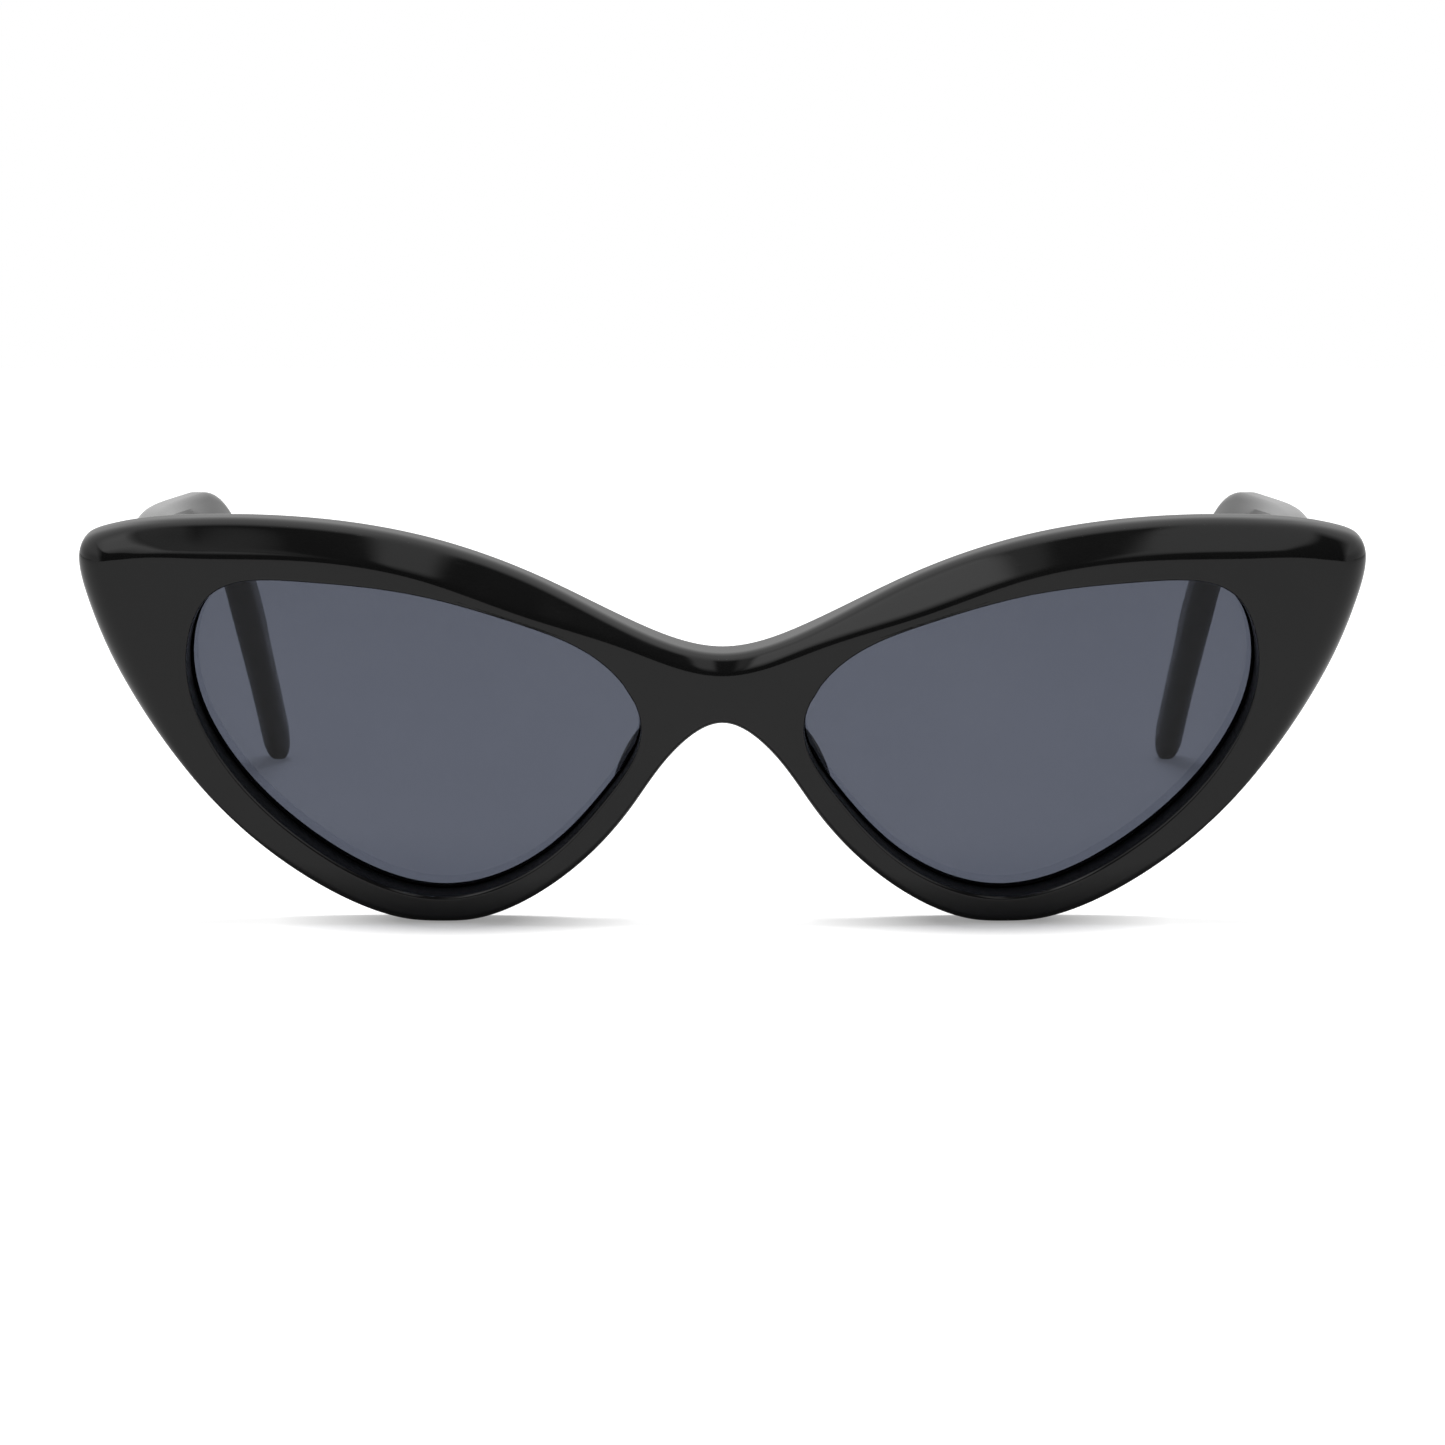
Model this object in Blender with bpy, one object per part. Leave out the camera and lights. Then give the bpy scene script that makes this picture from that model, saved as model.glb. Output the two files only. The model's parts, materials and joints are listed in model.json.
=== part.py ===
"""Cat eye sunglasses: a bevelled front, two lenses and two temples that fold on five-knuckle hinges.

Metres, +Z up, standing on the rims and the temple tips. The front faces -Y. Left is the wearer's
left, at +X; every left piece is built once and mirrored for the right.
"""

import math

import bmesh
import bpy
import numpy as np
from mathutils import Vector

# Lens openings and bridge
LENS_WIDTH = 0.0491
LENS_HEIGHT = 0.0352
BRIDGE_WIDTH = 0.0177
BRIDGE_ARCH = 0.0228
BRIDGE_BAR = 0.0079

# Widths of the front around each lens opening
RIM_LOW = 0.0030
RIM_INNER_LOW = 0.0028
RIM_NOSE = 0.0029
RIM_ARCH = 0.0047
RIM_SHOULDER = 0.0054
RIM_INNER_BROW = 0.0049
RIM_MID_BROW = 0.0057
RIM_OUTER_BROW = 0.0064
RIM_CROWN = 0.0084
END_TOP = 0.0136
END_TIP = 0.0151
END_LOW = 0.0120
RIM_TEMPLE = 0.0078
RIM_SIDE = 0.0037
RIM_OUTER_LOW = 0.0030

# Section of the front
FRONT_THICKNESS = 0.0060
FACE_RADIUS = 1.0
TILT = math.radians(8.5)
BROW_BEVEL = 0.0032
BRIDGE_BEVEL = 0.0016
END_ROUND = 0.0034
RIM_ROUND = 0.0010
EDGE_TURN = 0.7
BEVEL_STEEPNESS = 0.85
BROW_CREASE = 0.8
TOP_CREASE = 0.1
BACK_ROUND = 0.0007
OPENING_ROUND = 0.0004
REST_FLAT = 0.00025

# Lenses
LENS_THICKNESS = 0.0020
LENS_DEPTH = 0.0044
LENS_DOME = 0.0008
GROOVE_DEPTH = 0.0007
GROOVE_HALF = 0.0010
LENS_FIT = 0.0002

# Nose pads
PAD_LENGTH = 0.0124
PAD_WIDTH = 0.0031
PAD_HEIGHT = 0.0045
PAD_SPLAY = 0.0012

# Hinges
HINGE_BELOW_LENS_TOP = 0.0030
KNUCKLE_RADIUS = 0.0015
KNUCKLE_HEIGHT = 0.0014
KNUCKLE_GAP = 0.0002
KNUCKLE_COUNT = 5
LEAF_THICKNESS = 0.0010
FRONT_LEAF_TAB = 0.0014
FRONT_LEAF_HEIGHT = 0.0126
TEMPLE_LEAF_LENGTH = 0.0106
TEMPLE_LEAF_HEIGHT = 0.0060
PIN_RADIUS = 0.0007
PIN_HEAD_RADIUS = 0.0012
PIN_HEAD_TOP_RADIUS = 0.0009
PIN_HEAD_HEIGHT = 0.0006
LEAF_SCREW_RADIUS = 0.0006
LEAF_SCREW_HEAD = 0.0010
LEAF_SCREW_LENGTH = 0.0025
LEAF_SCREW_SINK = 0.0005
SCREW_SLOT = 0.0003

# Temples
TEMPLE_THICKNESS = 0.0036
TEMPLE_HEIGHT_BUTT = 0.0086
TEMPLE_HEIGHT_MIDDLE = 0.0094
TEMPLE_HEIGHT_BEND = 0.0068
TEMPLE_HEIGHT_TIP = 0.0078
TEMPLE_THICKNESS_TIP = 0.0036
TEMPLE_CORNER = 0.0012
TEMPLE_CORNER_TIP = 0.0016
TEMPLE_TO_BEND = 0.092
BEND_RADIUS = 0.022
DROP_ANGLE = math.radians(48)
BEND_LEAD = 0.005
END_OVERHANG = 0.0023
TEMPLE_BOW = 0.0011
TEMPLE_SPLAY = 0.0007
EAR_INWARD = 0.0034
DROP_INWARD = 0.0056
TIP_INWARD = 0.0072
TEMPLE_LEAN = math.radians(6)
CORE_RADIUS = 0.0006
CORE_OUTWARD = 0.0004
CORE_END_MARGIN = 0.010

# Clearances
BUTT_GAP = 0.0003
KNUCKLE_CLEARANCE = 0.0003
FIT = 0.00015
PIN_FIT = 0.0002

# Facets
OUTLINE_STEPS = 50
SEAM_STEPS = 4
TURN_LENGTH = 0.006
ROUND_STEPS = 16
SCREW_STEPS = 12
CORE_STEPS = 10
STRAIGHT_STEPS = 6
BEND_STEPS = 8
DROP_STEPS = 4
TIP_STEPS = 4
CURVE_STEPS = 24
SHARP_ANGLE = math.radians(32)

# Corners of the lens outline, as shares of the opening's width and height, clockwise from the nose
LENS_STATIONS = {
    "nasal": (0.000, 0.548),
    "nasal_brow": (0.068, 0.727),
    "inner_brow": (0.262, 0.869),
    "mid_brow": (0.492, 0.960),
    "outer_brow": (0.746, 1.000),
    "corner": (0.944, 0.955),
    "temporal": (1.000, 0.767),
    "outer_side": (0.932, 0.446),
    "outer_low": (0.740, 0.166),
    "bottom": (0.425, 0.000),
    "inner_low": (0.227, 0.105),
    "nose_side": (0.076, 0.321),
}

# Outer outline: lens station, direction in degrees, width out from there, edge width, crease share
RIM_STATIONS = (
    ("nasal_brow", 121, RIM_SHOULDER, BRIDGE_BEVEL, BROW_CREASE),
    ("inner_brow", 110, RIM_INNER_BROW, BROW_BEVEL, BROW_CREASE),
    ("mid_brow", 106, RIM_MID_BROW, BROW_BEVEL, BROW_CREASE),
    ("outer_brow", 83, RIM_OUTER_BROW, BROW_BEVEL, BROW_CREASE),
    ("corner", 73, RIM_CROWN, BROW_BEVEL, BROW_CREASE),
    ("corner", 30, END_TOP, BROW_BEVEL, TOP_CREASE),
    ("corner", 23, END_TIP, END_ROUND, 0.0),
    ("temporal", 26, END_LOW, END_ROUND, 0.0),
    ("temporal", -28, RIM_TEMPLE, END_ROUND, 0.0),
    ("outer_side", -30, RIM_SIDE, RIM_ROUND, 0.0),
    ("outer_low", -68, RIM_OUTER_LOW, RIM_ROUND, 0.0),
    ("bottom", -97, RIM_LOW, RIM_ROUND, 0.0),
    ("inner_low", -144, RIM_INNER_LOW, RIM_ROUND, 0.0),
    ("nose_side", -157, RIM_NOSE, RIM_ROUND, 0.0),
    ("nasal", -154, RIM_ARCH, RIM_ROUND, 0.0),
)

# Shares at which a section has a point: of the edge width, a lens radius, a pad height and a rounding
EDGE_SHARES = (0.25, 0.5, 0.72, 0.88, 0.97, 1.0)
LENS_SHARES = (0.4, 0.75, 1.0)
PAD_SHARES = (0.0, 0.35, 0.65, 0.85, 0.96)
ROUND_MIDDLE = 1 - math.sqrt(0.5)


def spline(stations, keys, closed):
    """Smooth curve through rows of values, spaced by the distance between their first keys columns."""
    rows = np.array(stations, float)
    if closed:
        rows = np.vstack([rows, rows[:1]])
    last = len(rows) - 1
    gap = np.linalg.norm(np.diff(rows[:, :keys], axis=0), axis=1)
    slope = np.diff(rows, axis=0) / gap[:, None]
    matrix = np.zeros((last + 1, last + 1))
    right = np.zeros_like(rows)
    for k in range(1, last):
        matrix[k, k - 1:k + 2] = gap[k - 1], 2 * (gap[k - 1] + gap[k]), gap[k]
        right[k] = 6 * (slope[k] - slope[k - 1])
    matrix[0, 0] = 1
    matrix[last, last] = 1
    if closed:
        matrix[0, last] = -1
        matrix[last, last] = 2 * (gap[-1] + gap[0])
        matrix[last, last - 1] = gap[-1]
        matrix[last, 1] = gap[0]
        right[last] = 6 * (slope[0] - slope[-1])
    bend = np.linalg.solve(matrix, right)
    points = []
    for k in range(last):
        sixth = gap[k] ** 2 / 6
        for t in np.arange(CURVE_STEPS) / CURVE_STEPS:
            s = 1 - t
            straight = rows[k] * s + rows[k + 1] * t
            points.append(straight + sixth * (bend[k] * (s ** 3 - s) + bend[k + 1] * (t ** 3 - t)))
    return np.vstack([points, rows[-1:]])


def with_normals(curve):
    """Adds the outward normal of a clockwise outline as two more columns."""
    along = np.gradient(curve[:, :2], axis=0)
    along /= np.linalg.norm(along, axis=1)[:, None]
    return np.column_stack([curve, -along[:, 1], along[:, 0]])


def share_out(curve, count):
    """Picks count points of a curve, closer together where it turns."""
    step = np.diff(curve[:, :2], axis=0)
    heading = np.unwrap(np.arctan2(step[:, 1], step[:, 0]))
    turn = np.abs(np.diff(heading, append=heading[-1]))
    travel = np.concatenate([[0], np.cumsum(np.linalg.norm(step, axis=1) + TURN_LENGTH * turn)])
    marks = np.linspace(0, travel[-1], count)
    return np.column_stack([np.interp(marks, travel, column) for column in curve.T])


def lens_point(station):
    """Flat place of a lens station: across from the middle of the front, up from the rim bottoms."""
    across, up = LENS_STATIONS[station]
    return np.array([BRIDGE_WIDTH / 2 + across * LENS_WIDTH, RIM_LOW + up * LENS_HEIGHT])


def lens_outline():
    """Edge of the lens opening with its normals."""
    closed = spline([lens_point(name) for name in LENS_STATIONS], 2, True)
    return with_normals(closed)


def rim_point(name, degrees, width):
    """Flat place of a point on the outer outline."""
    angle = math.radians(degrees)
    return lens_point(name) + width * np.array([math.cos(angle), math.sin(angle)])


def rim_middle(station):
    """Flat place halfway across the rim at a lens station."""
    row = next(row for row in RIM_STATIONS if row[0] == station)
    return (lens_point(station) + rim_point(*row[:3])) / 2


def limit_edge(curve):
    """Keeps the edge narrower than the outline's own radius where the outline turns sharply."""
    step = np.gradient(curve[:, :2], axis=0)
    heading = np.unwrap(np.arctan2(step[:, 1], step[:, 0]))
    turn = np.maximum(-np.gradient(heading), 0.0) / np.linalg.norm(step, axis=1)
    curve[:, 2] *= (1 + (curve[:, 2] * turn / EDGE_TURN) ** 4) ** -0.25


def outer_outline():
    """Left half of the outer outline from the top of the bridge to the arch under it."""
    rows = [(0.0, BRIDGE_ARCH + BRIDGE_BAR, BRIDGE_BEVEL, BROW_CREASE)]
    for name, degrees, width, edge, crease in RIM_STATIONS:
        across, up = rim_point(name, degrees, width)
        rows.append((across, up, edge, crease))
    rows.append((0.0, BRIDGE_ARCH, RIM_ROUND, 0.0))
    mirrored = [(-row[0],) + tuple(row[1:]) for row in reversed(rows[1:-1])]
    half = spline(rows + mirrored, 2, True)[:(len(rows) - 1) * CURVE_STEPS + 1]
    half[0, 0] = 0.0
    half[-1, 0] = 0.0
    curve = with_normals(half)
    curve[0, 4:] = 0.0, 1.0
    curve[-1, 4:] = 0.0, -1.0
    limit_edge(curve)
    picked = share_out(curve, OUTLINE_STEPS)
    picked[:, 3] = np.clip(picked[:, 3], 0.0, 1.0)
    return picked


def lens_at(outline, points):
    """Points of the lens outline on the lines from the lens centre to the given points."""
    centre = np.array([BRIDGE_WIDTH + LENS_WIDTH, 2 * RIM_LOW + LENS_HEIGHT]) / 2
    own = np.arctan2(*(outline[:, :2] - centre).T[::-1])
    wanted = np.arctan2(*(points - centre).T[::-1])
    return np.column_stack(
        [np.interp(wanted, own, column, period=2 * math.pi) for column in outline.T]
    )


def how_far_back(across, depth):
    """Distance that the face curve puts a point behind the middle of the front."""
    return FACE_RADIUS - (FACE_RADIUS - depth) * math.cos(across / FACE_RADIUS)


# Drop that sets the rims on the floor with a small flat under each
REST_DROP = REST_FLAT + math.sin(TILT) * how_far_back(
    lens_point("bottom")[0], RIM_ROUND * BEVEL_STEEPNESS
)


def on_front(across, up, depth):
    """Place of a flat point of the front once it is bent round the face, tilted and stood up."""
    back = how_far_back(across, depth)
    x = (FACE_RADIUS - depth) * math.sin(across / FACE_RADIUS)
    y = back * math.cos(TILT) - up * math.sin(TILT)
    z = back * math.sin(TILT) + up * math.cos(TILT)
    return Vector((x, y, z - REST_DROP))


def back_face(x, z):
    """Y of the back of the front above a place x, at height z."""
    back = FACE_RADIUS - math.sqrt((FACE_RADIUS - FRONT_THICKNESS) ** 2 - x ** 2)
    return back / math.cos(TILT) - (z + REST_DROP) * math.tan(TILT)


def across_of(x):
    """Flat place across of a point on the back of the front."""
    return FACE_RADIUS * math.asin(x / (FACE_RADIUS - FRONT_THICKNESS))


# Places worked out from the sizes above
OUTER = outer_outline()
LENS_EDGE = lens_outline()
LENS_TOP = RIM_LOW + LENS_HEIGHT
TIP_X = on_front(OUTER[:, 0].max(), LENS_TOP, 0.0).x
TEMPLE_OUT_X = TIP_X - END_OVERHANG
TEMPLE_IN_X = TEMPLE_OUT_X - TEMPLE_THICKNESS
AXIS_X = TEMPLE_IN_X - KNUCKLE_RADIUS - KNUCKLE_CLEARANCE
AXIS_Z = on_front(across_of(AXIS_X), LENS_TOP - HINGE_BELOW_LENS_TOP, FRONT_THICKNESS).z
PITCH = KNUCKLE_HEIGHT + KNUCKLE_GAP
STACK = KNUCKLE_COUNT * PITCH - KNUCKLE_GAP
AXIS_Y = back_face(AXIS_X + KNUCKLE_RADIUS, AXIS_Z - STACK / 2) + KNUCKLE_RADIUS + KNUCKLE_CLEARANCE
AXIS = Vector((AXIS_X, AXIS_Y, AXIS_Z))
TIP_ROUND = TEMPLE_HEIGHT_TIP / 2
BEND_LENGTH = BEND_RADIUS * DROP_ANGLE
BEND_FALL = BEND_RADIUS * (1 - math.cos(DROP_ANGLE))
DROP_LENGTH = (AXIS_Z - BEND_FALL - TIP_ROUND + REST_FLAT) / math.sin(DROP_ANGLE) + TIP_ROUND
TEMPLE_END = TEMPLE_TO_BEND + BEND_LENGTH + DROP_LENGTH


def ring(mesh, flat, depths):
    """Adds a row of vertices on the front."""
    depths = np.broadcast_to(depths, len(flat))
    return [mesh.verts.new(on_front(a, b, d)) for (a, b), d in zip(flat, depths)]


def skin(mesh, first, second, closed):
    """Faces between two rows of vertices."""
    count = len(first)
    for k in range(count if closed else count - 1):
        n = (k + 1) % count
        mesh.faces.new((first[k], first[n], second[n], second[k]))


def edge_depth(share, crease):
    """Depth of the front's outer edge as a share of its full depth: a bevel or a rounding."""
    rounded = 1 - math.sqrt(1 - share ** 2)
    return crease * share + (1 - crease) * rounded


def front_half():
    """Left half of the front, open at the middle where the mirror joins the other half."""
    mesh = bmesh.new()
    point, edge, crease, normal = OUTER[:, :2], OUTER[:, 2:3], OUTER[:, 3], OUTER[:, 4:]
    fold = point - edge * normal
    seam_share = np.linspace(0, 1, SEAM_STEPS + 2)[1:-1, None]
    front_seam = fold[-1] * (1 - seam_share) + fold[0] * seam_share
    inset = point - BACK_ROUND * normal
    back_seam = inset[-1] * (1 - seam_share) + inset[0] * seam_share
    lens = lens_at(LENS_EDGE, np.vstack([point, front_seam]))
    opening, out = lens[:, :2], lens[:, 2:]
    # front face from the lens opening to the bevel
    face_rows = [ring(mesh, opening, OPENING_ROUND)]
    soft = OPENING_ROUND * ROUND_MIDDLE
    face_rows.append(ring(mesh, opening + soft * out, soft))
    inner = opening + OPENING_ROUND * out
    face_rows.append(ring(mesh, inner, 0.0))
    limit = np.vstack([fold, front_seam])
    face_rows.append(ring(mesh, (inner + limit) / 2, 0.0))
    face_rows.append(ring(mesh, limit, 0.0))
    # bevel or rounding, outer wall and back rounding, on the outer outline only
    rows = [face_rows[-1][:OUTLINE_STEPS]]
    for share in EDGE_SHARES:
        depth = edge[:, 0] * BEVEL_STEEPNESS * [edge_depth(share, c) for c in crease]
        rows.append(ring(mesh, fold + share * (point - fold), depth))
    soft = BACK_ROUND * ROUND_MIDDLE
    rows.append(ring(mesh, point, FRONT_THICKNESS - BACK_ROUND))
    rows.append(ring(mesh, point - soft * normal, FRONT_THICKNESS - soft))
    # back face and the grooved wall of the opening
    back_limit = np.vstack([inset, back_seam])
    back_rows = [ring(mesh, back_limit, FRONT_THICKNESS)]
    rows.append(back_rows[0][:OUTLINE_STEPS])
    back_rows.append(ring(mesh, (inner + back_limit) / 2, FRONT_THICKNESS))
    back_rows.append(ring(mesh, inner, FRONT_THICKNESS))
    back_rows.append(ring(mesh, opening, FRONT_THICKNESS - OPENING_ROUND))
    back_rows.append(ring(mesh, opening, LENS_DEPTH + GROOVE_HALF))
    back_rows.append(ring(mesh, opening + GROOVE_DEPTH * out, LENS_DEPTH))
    back_rows.append(ring(mesh, opening, LENS_DEPTH - GROOVE_HALF))
    back_rows.append(face_rows[0])
    for strip, closed in ((face_rows, True), (rows, False), (back_rows, True)):
        for first, second in zip(strip, strip[1:]):
            skin(mesh, first, second, closed)
    return mesh


def lens_solid():
    """Domed lens with a bevelled edge that sits in the groove."""
    mesh = bmesh.new()
    edge = share_out(LENS_EDGE, OUTLINE_STEPS - 1)[:-1]
    middle = edge[:, :2].mean(axis=0)
    rim = edge[:, :2] - LENS_FIT * edge[:, 2:]
    apex = edge[:, :2] + (GROOVE_DEPTH - LENS_FIT) * edge[:, 2:]
    half = LENS_THICKNESS / 2
    rows = []
    for share in LENS_SHARES:
        bulge = LENS_DOME * (1 - share ** 2)
        rows.append(ring(mesh, middle + share * (rim - middle), LENS_DEPTH - half - bulge))
    rows.append(ring(mesh, apex, LENS_DEPTH))
    for share in LENS_SHARES[::-1]:
        bulge = LENS_DOME * (1 - share ** 2)
        rows.append(ring(mesh, middle + share * (rim - middle), LENS_DEPTH + half - bulge))
    for first, second in zip(rows, rows[1:]):
        skin(mesh, first, second, True)
    for row, depth in ((rows[0], -half), (rows[-1][::-1], half)):
        pole = mesh.verts.new(on_front(*middle, LENS_DEPTH + depth - LENS_DOME))
        for first, second in zip(row, row[1:] + row[:1]):
            mesh.faces.new((second, first, pole))
    return mesh


def pad_solid():
    """Nose pad: a dome on the back of the nose side of the rim, leaning away from the nose."""
    mesh = bmesh.new()
    low = rim_middle("nose_side")
    high = rim_middle("nasal")
    middle = (low + high) / 2
    along = (high - low) / np.linalg.norm(high - low)
    away = np.array([along[1], -along[0]])
    turn = np.linspace(0, 2 * math.pi, ROUND_STEPS, endpoint=False)[:, None]
    oval = PAD_LENGTH / 2 * np.cos(turn) * along + PAD_WIDTH / 2 * np.sin(turn) * away
    rows = []
    for rise in PAD_SHARES:
        size = math.sqrt(1 - rise ** 2)
        flat = middle + size * oval + PAD_SPLAY * rise ** 2 * away
        rows.append(ring(mesh, flat, FRONT_THICKNESS + FIT + rise * PAD_HEIGHT))
    for first, second in zip(rows, rows[1:]):
        skin(mesh, first, second, True)
    mesh.faces.new(rows[0][::-1])
    mesh.faces.new(rows[-1])
    return mesh


def flat_box(across, up, depth):
    """Box on the front, given as ranges of flat place and depth."""
    mesh = bmesh.new()
    flat = [(across[0], up[0]), (across[1], up[0]), (across[1], up[1]), (across[0], up[1])]
    rows = [ring(mesh, flat, depth[0]), ring(mesh, flat, depth[1])]
    skin(mesh, rows[0], rows[1], True)
    mesh.faces.new(rows[0][::-1])
    mesh.faces.new(rows[1])
    return mesh


def box(x, y, z):
    """Box given as ranges of x, y and z."""
    mesh = bmesh.new()
    bmesh.ops.create_cube(mesh, size=1.0)
    for vert in mesh.verts:
        for axis, (low, high) in enumerate((x, y, z)):
            vert.co[axis] = (low + high) / 2 + vert.co[axis] * (high - low)
    return mesh


def turned(profile, steps, place):
    """Solid turned from (radius, height) pairs, from its lower end up; place puts it in the part."""
    mesh = bmesh.new()
    rows = []
    for radius, height in profile:
        row = []
        for k in range(steps):
            turn = 2 * math.pi * k / steps
            row.append(mesh.verts.new(place(radius * math.cos(turn), radius * math.sin(turn), height)))
        rows.append(row)
    for first, second in zip(rows, rows[1:]):
        skin(mesh, first, second, True)
    mesh.faces.new(rows[0][::-1])
    mesh.faces.new(rows[-1])
    return mesh


def knuckle(bottom, seat, toward):
    """One knuckle: a barrel on the axis with a web out to its seat on the front or the temple."""
    mesh = bmesh.new()
    outline = []
    for k in range(ROUND_STEPS // 2 + 1):
        turn = math.pi * k / (ROUND_STEPS // 2)
        outline.append((KNUCKLE_RADIUS * math.cos(turn), KNUCKLE_RADIUS * math.sin(turn)))
    outline += [(-KNUCKLE_RADIUS, -seat), (KNUCKLE_RADIUS, -seat)]
    row = []
    for side, reach in outline:
        if toward == "front":
            place = (AXIS_X + side, AXIS_Y + reach, bottom)
        else:
            place = (AXIS_X - reach, AXIS_Y + side, bottom)
        row.append(mesh.verts.new(place))
    face = mesh.faces.new(row)
    face.normal_flip()
    top = bmesh.ops.extrude_face_region(mesh, geom=[face])["geom"]
    lift = [item for item in top if isinstance(item, bmesh.types.BMVert)]
    bmesh.ops.translate(mesh, verts=lift, vec=(0, 0, KNUCKLE_HEIGHT))
    return mesh


def gather(meshes):
    """Puts several separate solids in one mesh."""
    whole = bmesh.new()
    for mesh in meshes:
        data = bpy.data.meshes.new("gathered")
        mesh.to_mesh(data)
        whole.from_mesh(data)
        bpy.data.meshes.remove(data)
        mesh.free()
    return whole


def knuckle_bottoms(first):
    """Heights of every second knuckle, counted from the bottom of the stack."""
    return [AXIS_Z - STACK / 2 + k * PITCH for k in range(first, KNUCKLE_COUNT, 2)]


def front_knuckles():
    """Knuckles of the front leaf, one more than the temple's."""
    solids = []
    for bottom in knuckle_bottoms(0):
        leaf_middle = back_face(AXIS_X, bottom + KNUCKLE_HEIGHT / 2) - LEAF_THICKNESS / 2
        solids.append(knuckle(bottom, AXIS_Y - leaf_middle, "front"))
    return gather(solids)


def temple_knuckles():
    """Knuckles of the temple leaf, between those of the front."""
    seat = TEMPLE_IN_X - AXIS_X + LEAF_THICKNESS / 2
    return gather([knuckle(bottom, seat, "temple") for bottom in knuckle_bottoms(1)])


# Flat place of the front leaf, which reaches past the knuckles on both sides
LEAF_ACROSS = (
    across_of(AXIS_X - KNUCKLE_RADIUS - FRONT_LEAF_TAB),
    across_of(AXIS_X + KNUCKLE_RADIUS + FIT),
)
LEAF_MIDDLE = LENS_TOP - HINGE_BELOW_LENS_TOP
LEAF_UP = (LEAF_MIDDLE - FRONT_LEAF_HEIGHT / 2, LEAF_MIDDLE + FRONT_LEAF_HEIGHT / 2)
TEMPLE_LEAF_Y = (AXIS_Y - KNUCKLE_RADIUS - FIT, AXIS_Y + TEMPLE_LEAF_LENGTH)


def wider(span, margin):
    """A range with a margin at both ends."""
    return span[0] - margin, span[1] + margin


def front_leaf():
    """Plate of the front leaf, flush with the back of the end piece."""
    return flat_box(LEAF_ACROSS, LEAF_UP, (FRONT_THICKNESS - LEAF_THICKNESS, FRONT_THICKNESS))


def front_pocket():
    """Recess in the end piece for the front leaf."""
    depth = (FRONT_THICKNESS - LEAF_THICKNESS - FIT, FRONT_THICKNESS + LEAF_THICKNESS)
    return flat_box(wider(LEAF_ACROSS, FIT), wider(LEAF_UP, FIT), depth)


def temple_leaf():
    """Plate of the temple leaf, flush with the temple's inner face."""
    half = TEMPLE_LEAF_HEIGHT / 2
    x = (TEMPLE_IN_X, TEMPLE_IN_X + LEAF_THICKNESS)
    return box(x, TEMPLE_LEAF_Y, (AXIS_Z - half, AXIS_Z + half))


def temple_pocket():
    """Recess in the temple for its leaf, open at the butt end and at the inner face."""
    half = TEMPLE_LEAF_HEIGHT / 2 + FIT
    x = (TEMPLE_IN_X - LEAF_THICKNESS, TEMPLE_IN_X + LEAF_THICKNESS + FIT)
    y = (TEMPLE_LEAF_Y[0] - 2 * KNUCKLE_RADIUS, TEMPLE_LEAF_Y[1] + FIT)
    return box(x, y, (AXIS_Z - half, AXIS_Z + half))


def pin_profile(extra):
    """Hinge screw's shank, or its bore when extra is added."""
    radius = PIN_RADIUS + extra
    return [(radius, -STACK / 2 - extra), (radius, STACK / 2 + extra)]


def on_axis(x, y, z):
    """Places a turned shape on the hinge axis."""
    return AXIS + Vector((x, y, z))


def hinge_screw():
    """Screw with a low domed head on top of the knuckles."""
    base = STACK / 2 + KNUCKLE_GAP
    low = (PIN_RADIUS, -STACK / 2)
    neck = (PIN_RADIUS, base)
    head = [
        (PIN_HEAD_RADIUS, base),
        (PIN_HEAD_RADIUS, base + PIN_HEAD_HEIGHT / 2),
        (PIN_HEAD_TOP_RADIUS, base + PIN_HEAD_HEIGHT),
    ]
    return turned([low, neck] + head, ROUND_STEPS, on_axis)


def hinge_slot():
    """Driver slot across the hinge screw's head."""
    top = AXIS_Z + STACK / 2 + KNUCKLE_GAP + PIN_HEAD_HEIGHT
    wide = PIN_HEAD_RADIUS + FIT
    x = (AXIS_X - wide, AXIS_X + wide)
    y = (AXIS_Y - SCREW_SLOT / 2, AXIS_Y + SCREW_SLOT / 2)
    return box(x, y, (top - PIN_HEAD_HEIGHT / 2, top + PIN_HEAD_HEIGHT))


def leaf_screw_profile(extra):
    """Countersunk leaf screw from its point to its head, or its hole when extra is added."""
    shank = LEAF_SCREW_RADIUS + extra
    head = LEAF_SCREW_HEAD + extra
    profile = [(shank, -LEAF_SCREW_LENGTH - extra), (shank, -LEAF_SCREW_SINK), (head, 0.0)]
    if extra:
        profile.append((head, LEAF_THICKNESS))
    return profile


# Places of the leaf screws: above and below the knuckles, and along the temple leaf
SCREW_MARGIN = LEAF_SCREW_HEAD + 2 * FIT
FRONT_SCREWS = {
    "upper": (sum(LEAF_ACROSS) / 2, LEAF_UP[1] - SCREW_MARGIN),
    "lower": (sum(LEAF_ACROSS) / 2, LEAF_UP[0] + SCREW_MARGIN),
}
TEMPLE_SCREW_RISE = TEMPLE_LEAF_HEIGHT / 2 - SCREW_MARGIN
TEMPLE_SCREWS = {
    "front": (AXIS_Y + KNUCKLE_RADIUS + 2 * SCREW_MARGIN, AXIS_Z + TEMPLE_SCREW_RISE),
    "rear": (TEMPLE_LEAF_Y[1] - SCREW_MARGIN, AXIS_Z - TEMPLE_SCREW_RISE),
}


def front_leaf_screw(spot, extra):
    """Screw, or its hole, square to the back of the end piece."""
    across, up = FRONT_SCREWS[spot]

    def place(x, y, z):
        return on_front(across + x, up + y, FRONT_THICKNESS + z)

    return turned(leaf_screw_profile(extra), SCREW_STEPS, place)


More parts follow.
